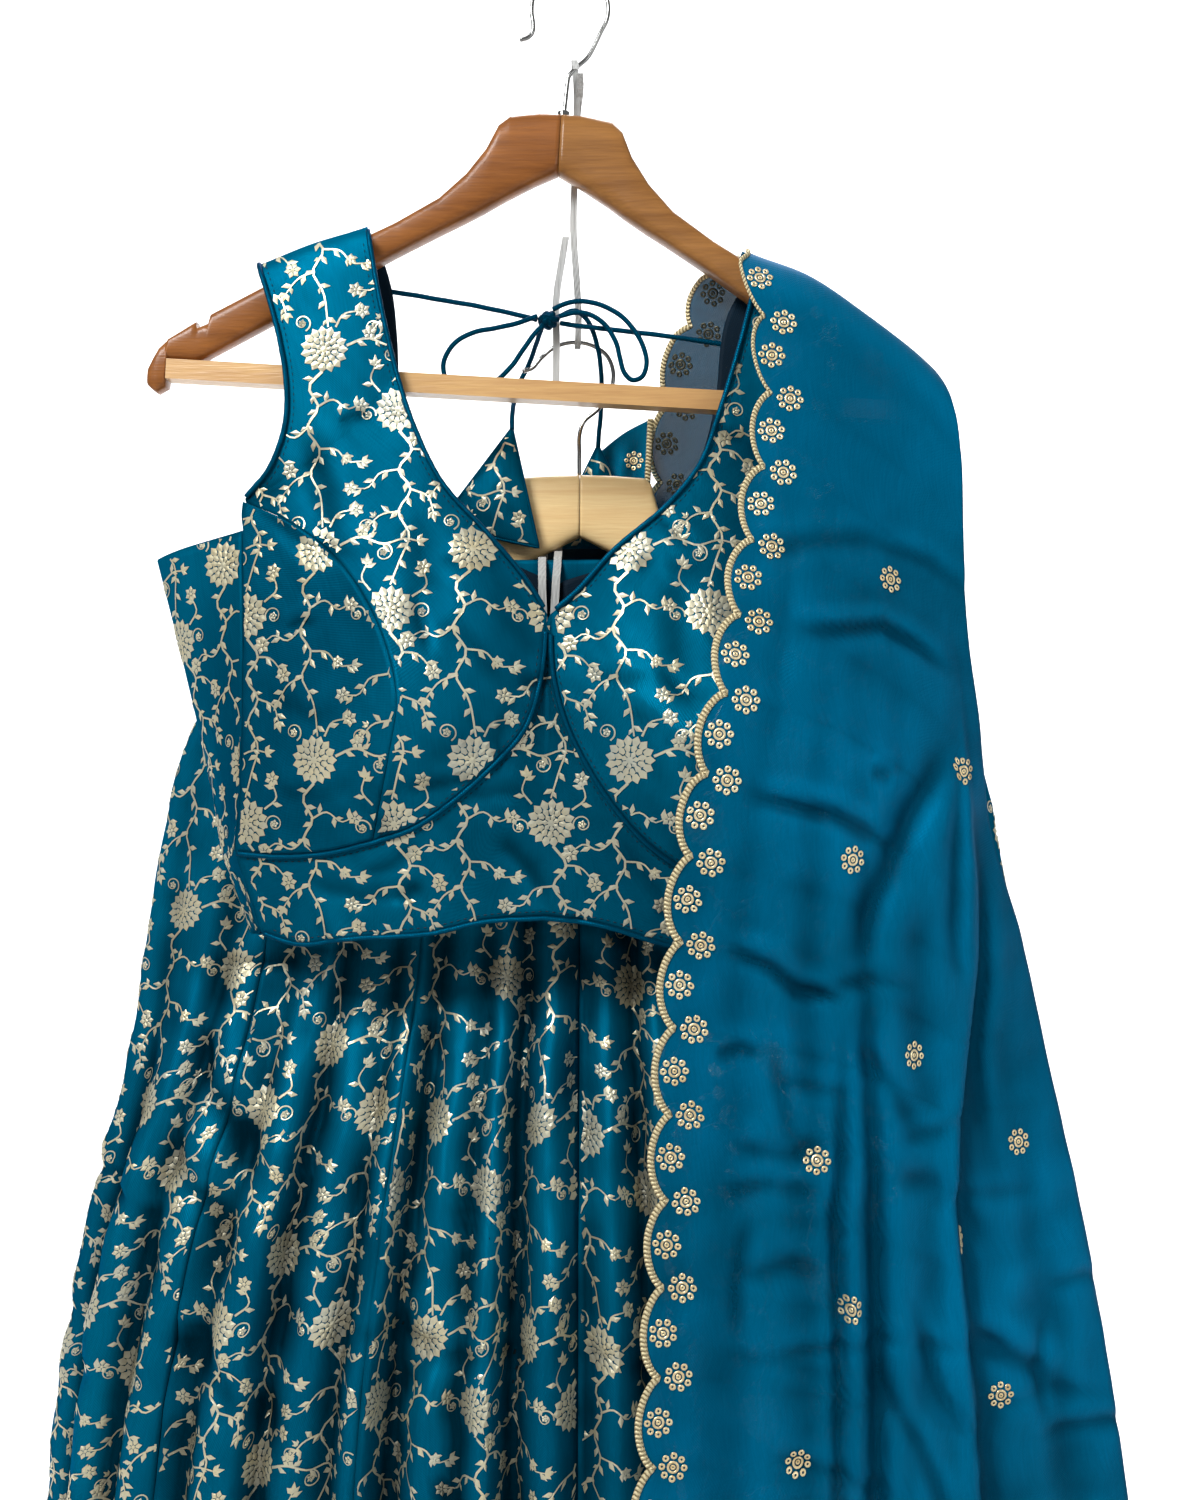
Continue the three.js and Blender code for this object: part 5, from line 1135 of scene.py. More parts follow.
def build_latkan(row):
    """A stuffed brocade triangle with a fine piped edge, and the woven pattern on its front."""
    front, back = latkan_faces(row)
    steps = front.shape[0] - 1
    points = np.concatenate([front.reshape(-1, 3), back.reshape(-1, 3)])
    faces = turned_to([0, -1, 0], points, [wall_faces(steps, steps)], probe=steps + 1)
    weave = points[:, [0, 2]] * MM
    piece = new_piece(row["name"] + "_cloth", points, faces, [SATIN], charts={"weave": weave})
    replace_node(row["name"])
    outline = np.concatenate([front[:, 0], front[-1, 1:], front[::-1, -1][1:]]) + [0, 0.6, 0]
    trim = round_cord(row["name"] + "_edge", outline, 0.9, PIPING, 8)
    shift = (row["apex"][0] + 9, row["apex"][1] - 12)
    for side, grid, outward in (("front", front, -1.0), ("back", back, 1.0)):
        normal = facing(grid, np.array([0, outward, 0]))
        embroider_flat(f"{row['name']}_zari_{side}", grid, normal, shift)


# The woven pattern: one repeat drawn flat, as points (x, y, height) and triangles


def petals(centre, inner, outer, count, turn, height, fullness):
    """Pointed petals in a ring: a narrow root, full shoulders, a tip and a raised middle."""
    angle = (turn + np.arange(count) * 2 * math.pi / count)[:, None]
    pitch = math.pi / count * fullness
    reach = outer - inner
    radius = np.array([inner, inner, inner + 0.55 * reach, outer, inner + 0.55 * reach, inner + 0.45 * reach])
    aside = np.array([-0.7, 0.7, 1.0, 0.0, -1.0, 0.0]) * pitch
    x = centre[0] + radius * np.cos(angle + aside)
    y = centre[1] + radius * np.sin(angle + aside)
    h = np.broadcast_to(height + np.array([0, 0, 0, 0, 0, 0.28]), x.shape)
    points = np.stack([x, y, h], axis=-1).reshape(-1, 3)
    fan = np.array([[0, 1, 5], [1, 2, 5], [2, 3, 5], [3, 4, 5], [4, 0, 5]])
    return points, copied_faces(fan, count, 6)


def level_ring(centre, radius, sides, height):
    """Points of a ring that lies flat at a height."""
    angle = np.arange(sides) * 2 * math.pi / sides
    x, y = centre[0] + radius * np.cos(angle), centre[1] + radius * np.sin(angle)
    return np.stack([x, y, np.full(sides, height)], axis=-1)


def button(centre, radius, sides, height):
    """A small raised round: a fan of triangles."""
    ring = level_ring(centre, radius, sides, height)
    k = np.arange(sides)
    points = np.concatenate([ring, [[centre[0], centre[1], height + 0.25]]])
    return points, np.stack([k, (k + 1) % sides, np.full(sides, sides)], axis=-1)


def stem(points, width, steps):
    """A ribbon along a smooth curve through points, narrowing to its end."""
    taper = 0.6
    line = edge([(x, y, 0) for x, y in points])(np.linspace(0, 1, steps + 1))
    side = unit(np.gradient(line, axis=0))[:, [1, 0, 2]] * [-1, 1, 0]
    half = (width / 2 * (1 - (1 - taper) * np.linspace(0, 1, steps + 1)))[:, None]
    both = np.stack([line - side * half, line + side * half], axis=1) + [0, 0, 0.06]
    both[:, 1, 2] += 0.1
    k = 2 * np.arange(steps)[:, None]
    faces = np.concatenate([k + [0, 2, 3], k + [0, 3, 1]])
    return both.reshape(-1, 3), faces


def leaf(x, y, angle, length, width):
    """A pointed leaf folded along its middle."""
    c, s = math.cos(angle), math.sin(angle)
    shape = np.array([[0, 0, 0.05], [0.42, 0.5, 0.05], [1, 0.1, 0.05], [0.5, -0.5, 0.05], [0.5, 0, 0.3]])
    shape = shape * [length, width, 1]
    along, aside, height = shape.T
    points = np.stack([x + along * c - aside * s, y + along * s + aside * c, height], axis=-1)
    return points, np.array([[0, 4, 1], [1, 4, 2], [2, 4, 3], [3, 4, 0]])


def blossom(centre, radius, turn=0.0):
    """The large flower: three rings of petals round a button."""
    return [
        petals(centre, 0.6 * radius, radius, 15, turn, 0.05, 1.0),
        petals(centre, 0.34 * radius, 0.68 * radius, 12, turn + 0.2, 0.16, 0.95),
        petals(centre, 0.12 * radius, 0.4 * radius, 7, turn + 0.1, 0.26, 0.92),
        button(centre, 0.15 * radius, 6, 0.3),
    ]


def small_flower(x, y, radius=4.0, turn=0.3, count=6):
    """The small flower: one ring of round petals and a button."""
    centre, radius = (x, y), 1.16 * radius
    return [
        petals(centre, 0.26 * radius, radius, count, turn, 0.06, 0.92),
        button(centre, 0.24 * radius, 5, 0.15),
    ]


def leafy(points, width, first=1, gap=9.0):
    """A stem with comma leaves on alternate sides along it, each leaning towards its end."""
    size = 6.2
    parts = [stem(points, 1.25 * width, 3 * len(points) - 2)]
    line = edge([(x, y, 0) for x, y in points])(np.linspace(0, 1, 40))[:, :2]
    run = run_of(line)
    way = unit(np.gradient(line, axis=0))
    for k, place in enumerate(np.arange(gap * 0.6, run[-1] - 1, gap)):
        (x, y), (dx, dy) = points_at(place, run, line), points_at(place, run, way)
        side = first if k % 2 else -first
        heading = math.atan2(dy, dx)
        parts.append(leaf(x, y, heading + side * 0.85, size, size * 0.46))
        if k % 2:
            parts.append(leaf(x + 1.2 * dx, y + 1.2 * dy, heading - side * 0.7, size * 0.7, size * 0.34))
    return parts


def trefoil(x, y, angle, size=5.8):
    """Three leaves that open from one point."""
    spread = ((-0.75, 0.85), (0, 1.1), (0.75, 0.85))
    return [leaf(x, y, angle + turn, size * share, size * 0.46) for turn, share in spread]


def curl(x, y, angle, size, side=1):
    """A tendril that winds in on itself round a tiny flower."""
    turn = np.linspace(0, 2.6 * math.pi, 15)
    radius = size * (1 - 0.72 * turn / turn[-1])
    away = angle + side * (turn + math.pi)
    cx, cy = x + size * math.cos(angle), y + size * math.sin(angle)
    points = list(zip(cx + radius * np.cos(away), cy + radius * np.sin(away)))
    return [stem(points, 0.85, 22)] + small_flower(cx, cy, size * 0.4, 0.1, 5)


def brocade_repeat():
    """One repeat: two large flowers on wandering stems, with side sprigs, tendrils and buds."""
    parts = blossom((20, 80), 12.8) + blossom((60, 47), 12.8, 0.25)
    left_vine = [(19, 68), (12, 60), (17, 49), (11, 38), (18, 26), (13, 14), (19, 2), (22, -17)]
    right_vine = [(61, 35), (68, 25), (61, 14), (68, 3), (62, -9), (68, -22), (64, -36), (60, -49)]
    parts += leafy(left_vine, 1.2, 1, 9.4) + leafy(right_vine, 1.2, -1, 9.4)
    parts += leafy([(12, 39), (4, 33), (-4, 36), (-9, 33)], 0.9) + small_flower(-11, 31, 4.2)
    parts += leafy([(16, 49), (25, 53), (33, 48), (38, 50)], 0.9, -1) + small_flower(40, 50, 3.6, 0.1, 5)
    parts += leafy([(18, 27), (27, 26), (34, 19), (41, 19)], 0.9)
    parts += trefoil(41, 19, 0.0) + small_flower(33, 21, 3.0, 0.5)
    parts += leafy([(14, 14), (5, 10), (-1, 2)], 0.9, -1) + trefoil(-1, 2, 4.2)
    parts += leafy([(67, 25), (75, 24), (82, 17)], 0.9) + small_flower(83, 15, 4.0, 0.2)
    parts += leafy([(61, 14), (51, 12), (45, 4), (38, 4)], 0.9, -1) + small_flower(36, 4, 3.8)
    parts += leafy([(68, 3), (77, -1), (80, -9)], 0.9) + trefoil(80, -9, 4.9)
    parts += leafy([(63, -9), (53, -11), (46, -18)], 0.9)
    parts += small_flower(44, -20, 3.6, 0.4, 5) + trefoil(50, -12, 2.4, 3.6)
    parts += leafy([(32, 82), (43, 86), (55, 82), (66, 85), (72, 84)], 1.1, 1, 9.4) + trefoil(72, 84, 0.1)
    parts += curl(44, 86, 1.3, 5.6) + curl(57, 82, 4.4, 4.8, -1)
    parts += curl(72, 44, 0.5, 5.0, -1) + curl(48, 44, 2.9, 4.6)
    parts += leafy([(71, 54), (78, 60), (76, 68)], 0.9) + small_flower(76, 70, 3.8)
    parts += leafy([(50, 57), (45, 64), (47, 71)], 0.9, -1) + trefoil(47, 71, 1.5)
    parts += curl(10, 90, 2.0, 4.8)
    parts += leafy([(26, 92), (30, 99), (38, 101)], 0.9) + small_flower(40, 101, 3.8, 0.6)
    return joined(parts)


REPEAT = brocade_repeat()


def repeats_over(low, high, shift):
    """The repeat laid side by side over a rectangle: all points and all triangles."""
    points, faces = REPEAT
    spans = [
        np.arange(math.floor((start - by) / pitch) - 1, math.ceil((end - by) / pitch) + 1)
        for start, end, by, pitch in zip(low, high, shift, (REPEAT_WIDTH, REPEAT_HEIGHT))
    ]
    i, j = (part.ravel() for part in np.meshgrid(*spans))
    move = np.stack([i * REPEAT_WIDTH + shift[0], j * REPEAT_HEIGHT + shift[1], 0 * i], axis=-1)
    return (points[None] + move[:, None]).reshape(-1, 3), copied_faces(faces, len(i), len(points))


def lay_threads(name, points, faces, grid, normal, u, v, inside, finish, relief=0.28):
    """Puts flat motifs on a cloth: each point goes to its place, raised along the cloth's normal."""
    kept = faces[inside[faces].all(axis=1)]
    used = np.unique(kept)
    number = np.zeros(len(points), int)
    number[used] = np.arange(len(used))
    kept = number[kept]
    across, down = u[used], v[used]
    out = unit(sample(normal, across, down))
    place = sample(grid, across, down) + out * (relief + points[used, 2])[:, None]
    turn = np.cross(place[kept[:, 1]] - place[kept[:, 0]], place[kept[:, 2]] - place[kept[:, 0]])
    wrong = np.sum(turn * out[kept[:, 0]], axis=1) < 0
    kept = np.where(wrong[:, None], kept[:, ::-1], kept)
    chart = np.stack([across, down], axis=-1)
    # the cloth's depth under each point, for the painted fold shade of the thread's finish
    depth = sample(hollows(grid, normal)[..., None], across, down)
    piece = new_piece(name, place, [kept], [finish], charts={"OFBake": chart}, flat=True, hollow=depth)


def find_places(grid, x, z, tries=9):
    """Where on a cloth seen from the front the points x, z lie: Newton's steps on both parameters."""
    flat = grid[..., [0, 2]]
    low, high = flat.reshape(-1, 2).min(0), flat.reshape(-1, 2).max(0)
    u = np.clip((x - low[0]) / (high[0] - low[0]), 0.02, 0.98)
    v = np.clip((high[1] - z) / (high[1] - low[1]), 0.02, 0.98)
    reach, longest_step, least_turn = 0.01, 0.3, 1e-3
    for _ in range(tries):
        off = np.stack([x, z], axis=-1) - sample(flat, u, v)
        left, right = np.maximum(u - reach, 0), np.minimum(u + reach, 1)
        upper, lower = np.maximum(v - reach, 0), np.minimum(v + reach, 1)
        du = (sample(flat, right, v) - sample(flat, left, v)) / (right - left)[:, None]
        dv = (sample(flat, u, lower) - sample(flat, u, upper)) / (lower - upper)[:, None]
        turn = du[:, 0] * dv[:, 1] - du[:, 1] * dv[:, 0]
        turn = np.where(np.abs(turn) < least_turn, least_turn, turn)
        step_u = (off[:, 0] * dv[:, 1] - off[:, 1] * dv[:, 0]) / turn
        step_v = (du[:, 0] * off[:, 1] - du[:, 1] * off[:, 0]) / turn
        u = np.clip(u + np.clip(step_u, -longest_step, longest_step), 0, 1)
        v = np.clip(v + np.clip(step_v, -longest_step, longest_step), 0, 1)
    miss = np.linalg.norm(sample(flat, u, v) - np.stack([x, z], axis=-1), axis=1)
    return u, v, miss < 0.4


def within(u, v, margin_u, margin_v):
    """Which places lie on a cloth, clear of its edges by a share of its width and length."""
    return (u > margin_u) & (u < 1 - margin_u) & (v > margin_v) & (v < 1 - margin_v)


def embroider_flat(name, grid, normal, shift):
    """The woven pattern over a panel that is seen whole from the front or the back."""
    flat = grid[..., [0, 2]].reshape(-1, 2)
    points, faces = repeats_over(flat.min(0), flat.max(0), shift)
    u, v, found = find_places(grid, points[:, 0], points[:, 1])
    lay_threads(name, points, faces, grid, normal, u, v, found & within(u, v, 0.008, 0.008), ZARI)


# Hangers


def wooden_arm(name, rows, side, centre, finish, tilt=0.0):
    """A shaped arm: rounded-box sections (a superellipse) whose size follows the table of stations."""
    steps, sides = 100, 28
    table = np.array(rows, float)
    x = np.unique(np.concatenate([np.linspace(table[0, 0], table[-1, 0], steps), table[:, 0]]))
    top, bottom, y, half = (np.interp(x, table[:, 0], table[:, k]) for k in range(1, 5))
    angle = np.linspace(0, 2 * math.pi, sides, endpoint=False)
    ring_y, ring_z = rounded_box(angle, 3.6)
    ends = 1 - 0.12 * (1 - step_between(x[-1] - x, 0, 2.5))
    middle, rise = (top + bottom) / 2, (top - bottom) / 2
    grid = np.stack(np.broadcast_arrays(
        side * x[:, None],
        y[:, None] + (half * ends)[:, None] * ring_y,
        middle[:, None] + (rise * ends)[:, None] * ring_z,
    ), axis=-1).astype(float)
    turned = grid.copy()
    turned[..., 0] = grid[..., 0] * math.cos(tilt) + grid[..., 2] * math.sin(tilt) + centre[0]
    turned[..., 1] = grid[..., 1] + centre[1]
    turned[..., 2] = grid[..., 2] * math.cos(tilt) - grid[..., 0] * math.sin(tilt)
    points = np.concatenate([turned.reshape(-1, 3), turned[:1].mean(1), turned[-1:].mean(1)])
    faces = turned_to(points[0] - points[-2], points, tube_faces(len(x), sides))
    return new_piece(name, points, faces, [finish])


def build_hangers():
    """Both hangers: shaped wooden arms, wire hooks and the screw that joins the mitre."""
    small_centre = (SMALL_HANGER_X, SMALL_HANGER_Y)
    # each arm takes its own lit or shaded copy of the wood: painted light and painted shade
    for side, word, finish in ((-1, "left", WOOD_SHADED_LEFT), (1, "right", WOOD_LIT_RIGHT)):
        arm = wooden_arm(f"wooden_arm_{word}", ARM_ROWS, side, (0, 0), finish, HANGER_TILT)
        replace_node(f"hanger_{word}")
        # the small hanger's arms take the brighter copy of the pale wood: painted light
        arm = wooden_arm(f"small_arm_{word}", SMALL_ARM_ROWS, side, small_centre, SMALL_WOOD_LIT)
        replace_node(f"small_hanger_{word}")
    turn = np.radians(np.linspace(-36, 186, 12))
    bend = np.stack([np.cos(turn), 0 * turn, np.sin(turn)], axis=-1) * HOOK_RADIUS + [0, 0, HOOK_CENTRE_Z]
    large_route = np.concatenate([HOOK_SHANK, bend, HOOK_TIP])
    small_route = np.array(SMALL_HOOK_ROUTE) + [0, SMALL_HANGER_Y, 0]
    for name, route, steps, wire, node in (
        ("hook_wire", large_route, 150, HOOK_WIRE, "hanger_hook"),
        ("small_hook_wire", small_route, 110, SMALL_HOOK_WIRE, "small_hanger_hook"),
    ):
        hook = round_cord(name, curve_through(route, steps), wire, CHROME, 16)
        replace_node(node)
    ferrule = round_cord("hook_ferrule", curve_through(FERRULE_ROUTE, 6), FERRULE_RADIUS, CHROME, 20)


# Choli


def choli_creases(x, z):
    """How far the blouse's front stands back: soft troughs from the straps, under the bust and hem."""
    total = np.zeros(np.broadcast(x, z).shape)
    for line, width, depth in CHOLI_CREASES + CHOLI_WRINKLES:
        total += crease(x, z, line, width, depth)
    total += 0.5 * unevenness(x, z, 42, 11) + 0.22 * unevenness(x, z, 15, 12)
    return total


CHOLI_CREASES = [
    ([(-143, -250), (-128, -300), (-120, -340)], 7, 2.2),
    ([(-168, -300), (-135, -322), (-100, -330)], 6, 2.0),
    ([(-78, -300), (-70, -345), (-75, -385)], 9, 2.0),
    ([(-160, -400), (-128, -412), (-104, -405)], 7, 1.8),
    ([(-162, -450), (-130, -452), (-100, -440)], 6, 1.6),
    ([(-60, -360), (-40, -385), (-28, -400)], 7, 1.8),
    ([(-150, -495), (-110, -506), (-60, -500)], 6, 1.6),
    ([(-40, -470), (-20, -490), (-10, -512)], 6, 1.8),
    ([(20, -470), (45, -500), (60, -530)], 6, 1.8),
    ([(84, -510), (110, -528), (140, -530)], 6, 1.5),
    ([(132, -275), (120, -320), (112, -350)], 7, 2.2),
    ([(155, -330), (120, -350), (90, -352)], 6, 1.8),
    ([(60, -330), (56, -370), (64, -410)], 9, 2.0),
    ([(150, -430), (120, -438), (92, -430)], 7, 1.6),
    ([(30, -400), (40, -430), (56, -455)], 7, 1.6),
]


CHOLI_WRINKLES = wrinkles(75, 42, (-160, 150), (-530, -240), (16, 50), (2.4, 4.6), (0.8, 1.9), (0.2, 0.8))


def run_stitches(name, grid, normal, lines):
    """Rows of running stitches on a front panel: each line is an edge's curve, the stretch of it that is
    sewn, and how far aside of it the stitches run."""
    parts = []
    for part, start, end, aside in lines:
        path = curve_of(part)(np.linspace(start, end, 400))[:, [0, 2]]
        way = unit(np.gradient(path, axis=0))
        path = path + aside * np.stack([-way[:, 1], way[:, 0]], axis=-1)
        run = run_of(path)
        for place in np.arange(2, run[-1] - 3, STITCH_PITCH):
            (x, z), (dx, dz) = points_at(place, run, path), points_at(place, run, way)
            parts.append(leaf(x, z, math.atan2(dz, dx), 0.66 * STITCH_PITCH, 0.8))
    points, faces = joined(parts)
    u, v, found = find_places(grid, points[:, 0], points[:, 1])
    inside = found & within(u, v, 0.002, 0.002)
    lay_threads(name, points, faces, grid, normal, u, v, inside, STITCH, relief=0.1)


def sew_choli_panel(name, grid, outward):
    """A panel of the blouse as a lined cloth that hangs from the large hanger."""
    piece = cloth(name + "_cloth", grid, outward, CHOLI_WALL, SATIN, LINING)
    replace_node(name)


def front_panel(name, edges, columns, rows, stitched=()):
    """A panel of the blouse's front: blended from its edges, creased, and lined behind."""
    grid = grid_of(inset(blend_edges(*edges)), columns, rows)
    x, z = grid[..., 0], grid[..., 2]
    calm = 1 - step_between(grid[..., 1], -24, -10)
    grid = moved_back(grid, choli_creases(x, z) * calm)
    over = step_between(grid[..., 1], -19, -5)
    normal = facing(grid, np.stack([0 * x, -np.ones_like(x), 0.6 * over], axis=-1))
    soft = unit(np.stack([0 * x, -np.ones_like(x), 1.4 * over], axis=-1) + 0.35 * normal)
    sew_choli_panel(name, grid, soft)
    embroider_flat(name + "_zari", grid, normal, CHOLI_SHIFT)
    if stitched:
        run_stitches(name + "_stitches", grid, normal, stitched)


def folded_panel(name, edges, columns, rows, bearings):
    """A side piece: it goes round the fold, its inward bearing turning from one side to the other."""
    grid = grid_of(inset(blend_edges(*edges)), columns, rows)
    bearing = np.radians(bearings[0] + (bearings[1] - bearings[0]) * np.linspace(0, 1, columns + 1))
    outward = -np.stack([np.cos(bearing), np.sin(bearing), 0 * bearing], axis=-1)
    outward = np.broadcast_to(outward, grid.shape)
    sew_choli_panel(name, grid, outward)
    tall = float(np.linalg.norm(np.diff(grid[:, columns // 2], axis=0), axis=-1).sum())
    embroider_band(name + "_zari", grid, facing(grid, outward), tall, SIDE_SHIFT)


def embroider_band(name, grid, normal, length, shift):
    """The woven pattern on a long panel, laid from its centre line by true width at each level."""
    widths = np.linalg.norm(np.diff(grid, axis=1), axis=-1).sum(axis=1)
    reach = widths.max() / 2
    points, faces = repeats_over((-reach, 0), (reach, length), shift)
    v = 1 - points[:, 1] / length
    wide = np.interp(np.clip(v, 0, 1), np.linspace(0, 1, len(widths)), widths)
    u = 0.5 + points[:, 0] / wide
    lay_threads(name, points, faces, grid, normal, u, v, within(u, v, 0.006, 0.002), ZARI)


def back_panel(name, edges, columns, rows):
    """Half of the blouse's back with its strap, seen from inside through the neck."""
    grid = grid_of(inset(blend_edges(*edges)), columns, rows)
    x, z = grid[..., 0], grid[..., 2]
    calm = step_between(grid[..., 1], 3, 8)
    grid = moved_back(grid, (0.35 * unevenness(x, z, 50, 21) - 0.3) * calm)
    over = 1.4 * (1 - step_between(grid[..., 1], -5, 5))
    soft = unit(np.stack([0 * x, np.ones_like(x), over], axis=-1))
    sew_choli_panel(name, grid, soft)
    embroider_flat(name + "_zari", grid, facing(grid, soft), CHOLI_SHIFT)


def build_piping(node, part, steps, start, end):
    """A bead of covered cord that follows a seam or edge, with the cover's slight wrinkles."""
    path = curve_of(part)(np.linspace(start, end, steps + 1))
    calm = 1 - step_between(path[:, 1], -24, -10)
    path = moved_back(path, choli_creases(path[:, 0], path[:, 2]) * calm - PIPING_LIFT)
    wrinkle = lambda k, angle: 1 + 0.04 * np.sin(k * 1.9 + angle) + 0.03 * np.sin(k * 0.73 - 2 * angle)
    piece = round_cord(f"{node}_bead", path, PIPING_RADIUS, PIPING, 10, bumps=wrinkle)
    replace_node(node)


def build_choli():
    """The blouse: two cups a side, the midriff band, side pieces, back halves and all piping."""
    cup_rows, seam_rows, inner_columns, outer_columns = 13, 8, 7, 4
    strap = (cup_rows - seam_rows) / cup_rows
    strap_left = chain((strap, STRAP_OUTER_LEFT), (1 - strap, PRINCESS_LEFT))
    strap_right = chain((strap, STRAP_OUTER_RIGHT), (1 - strap, PRINCESS_RIGHT))
    front_panel(
        "cup_inner_left", (strap_left, NECK_LEFT, STRAP_TOP_LEFT, UNDERBUST_INNER_LEFT), 42, 100,
        [(NECK_LEFT, 0.08, 0.98, -3.6), (STRAP_OUTER_LEFT, 0.08, 0.96, 3.6),
         (UNDERBUST_INNER_LEFT, 0.02, 0.9, 3.2)],
    )
    front_panel(
        "cup_inner_right", (NECK_RIGHT, strap_right, STRAP_TOP_RIGHT, UNDERBUST_INNER_RIGHT), 42, 100,
        [(NECK_RIGHT, 0.08, 0.98, 3.6), (STRAP_OUTER_RIGHT, 0.08, 0.96, -3.6),
         (UNDERBUST_INNER_RIGHT, 0.1, 0.98, 3.2)],
    )
    outer_left_edges = (SIDE_SEAM_LEFT, PRINCESS_LEFT, ARMHOLE_FRONT_LEFT, UNDERBUST_OUTER_LEFT)
    outer_right_edges = (PRINCESS_RIGHT, SIDE_SEAM_RIGHT, ARMHOLE_FRONT_RIGHT, UNDERBUST_OUTER_RIGHT)
    front_panel("cup_outer_left", outer_left_edges, 28, 56)
    front_panel("cup_outer_right", outer_right_edges, 28, 56)
    whole = 2 * (inner_columns + outer_columns)
    outer, inner = outer_columns / whole, inner_columns / whole
    top = chain(
        (outer, UNDERBUST_OUTER_LEFT), (inner, UNDERBUST_INNER_LEFT),
        (inner, UNDERBUST_INNER_RIGHT), (outer, UNDERBUST_OUTER_RIGHT),
    )
    hem = chain((outer, HEM_LEFT), (inner, HEM_MIDDLE_LEFT), (inner, HEM_MIDDLE_RIGHT), (outer, HEM_RIGHT))
    front_panel(
        "midriff_front", (MIDRIFF_SIDE_LEFT, MIDRIFF_SIDE_RIGHT, top, hem), 116, 30,
        [(hem, 0.01, 0.99, 3.4), (top, 0.01, 0.99, -2.6)],
    )
    share = seam_rows / 10
    side_left = chain((share, SIDE_SEAM_LEFT), (1 - share, MIDRIFF_SIDE_LEFT))
    side_right = chain((share, SIDE_SEAM_RIGHT), (1 - share, MIDRIFF_SIDE_RIGHT))
    back_left = [SIDE_TOP_LEFT[0], SIDE_HEM_LEFT[0]]
    back_right = [SIDE_TOP_RIGHT[4], SIDE_HEM_RIGHT[4]]
    folded_panel("side_left", (back_left, side_left, SIDE_TOP_LEFT, SIDE_HEM_LEFT), 36, 44, (-90, 90))
    folded_panel("side_right", (side_right, back_right, SIDE_TOP_RIGHT, SIDE_HEM_RIGHT), 36, 44, (90, 270))
    back_share = 7 / cup_rows
    centre_top, centre_hem = (-7.8, 9.2, -336), (-7.8, 9.2, -511)
    centre = [centre_top, centre_hem]
    neck_left = chain((back_share, BACK_NECK_LEFT[:-1] + [centre_top]), (1 - back_share, centre))
    neck_right = chain((back_share, BACK_NECK_RIGHT[:-1] + [centre_top]), (1 - back_share, centre))
    outer_left = chain((back_share, BACK_OUTER_LEFT), (1 - back_share, back_left))
    outer_right = chain((back_share, BACK_OUTER_RIGHT), (1 - back_share, back_right))
    hem_left = [centre_hem, (-80, 9.2, -519), SIDE_HEM_LEFT[0]]
    hem_right = [SIDE_HEM_RIGHT[4], (70, 9.2, -528), centre_hem]
    back_panel("choli_back_left", (neck_left, outer_left, reverse(BACK_TOP_LEFT), hem_left), 28, 72)
    back_panel("choli_back_right", (outer_right, neck_right, reverse(BACK_TOP_RIGHT), hem_right), 28, 72)
    under_left = chain((0.3, UNDERBUST_OUTER_LEFT), (0.7, UNDERBUST_INNER_LEFT))
    under_right = chain((0.7, UNDERBUST_INNER_RIGHT), (0.3, UNDERBUST_OUTER_RIGHT))
    for node, part, steps, start, end in (
        ("neck_piping_left", NECK_LEFT, 130, 0.06, 0.985),
        ("neck_piping_right", NECK_RIGHT, 130, 0.06, 0.985),
        ("armhole_piping_left", STRAP_OUTER_LEFT, 80, 0.07, 0.98),
        ("armhole_piping_right", STRAP_OUTER_RIGHT, 80, 0.07, 0.98),
        ("underbust_piping_left", under_left, 150, 0.005, 0.96),
        ("underbust_piping_right", under_right, 150, 0.04, 0.995),
        ("hem_piping", hem, 180, 0.004, 0.996),
    ):
        build_piping(node, part, steps, start, end)


# Skirt


def skirt_level(key, z):
    """One column of the skirt's table at given levels."""
    table = np.array(SKIRT_ROWS)
    return smooth(-table[:, 0], table[:, key], -np.asarray(z, float))


def skirt_folds():
    """All folds as rows of place at the top, place at the hem, half width, depth and lean."""
    folds = [(*row, 0.45 * math.sin(2.7 * k)) for k, row in enumerate(SKIRT_FOLDS)]
    for k in range(BACK_FOLD_COUNT):
        place = 0.5 + (k + 0.5) / (2 * BACK_FOLD_COUNT) + 0.004 * math.sin(2.3 * k)
        folds.append((place, place + 0.006 * math.sin(1.7 * k), 0.0105, 0.75 + 0.25 * math.sin(1.9 * k), 0.0))
    return folds


FOLD_SHARPNESS = 0.86
FOLD_GAIN = 1.25
SKIRT_CREASES = [
    ([(-222, -581), (-190, -630), (-156, -678)], 9, 5.0),
    ([(-236, -640), (-200, -672), (-176, -716)], 8, 4.0),
    ([(-150, -560), (-138, -610), (-142, -668)], 9, 4.0),
    ([(-240, -740), (-196, -752), (-150, -800)], 10, 5.0),
    ([(-118, -640), (-108, -700), (-114, -760)], 8, 3.5),
    ([(-96, -560), (-82, -590), (-60, -600)], 6, 3.0),
    ([(-20, -560), (-34, -620), (-30, -680)], 6, 3.5),
    ([(14, -560), (2, -600), (-2, -640)], 6, 3.0),
    ([(-260, -900), (-200, -930), (-150, -990)], 12, 6.0),
    ([(-120, -860), (-100, -930), (-110, -1010)], 12, 5.0),
    ([(30, -850), (50, -940), (44, -1020)], 12, 6.0),
    ([(160, -880), (190, -960), (250, -1010)], 12, 6.0),
]


SKIRT_WRINKLES = wrinkles(76, 36, (-300, 120), (-1300, -540), (50, 150), (4.0, 8.0), (1.5, 3.6), (-1.1, 0.5))


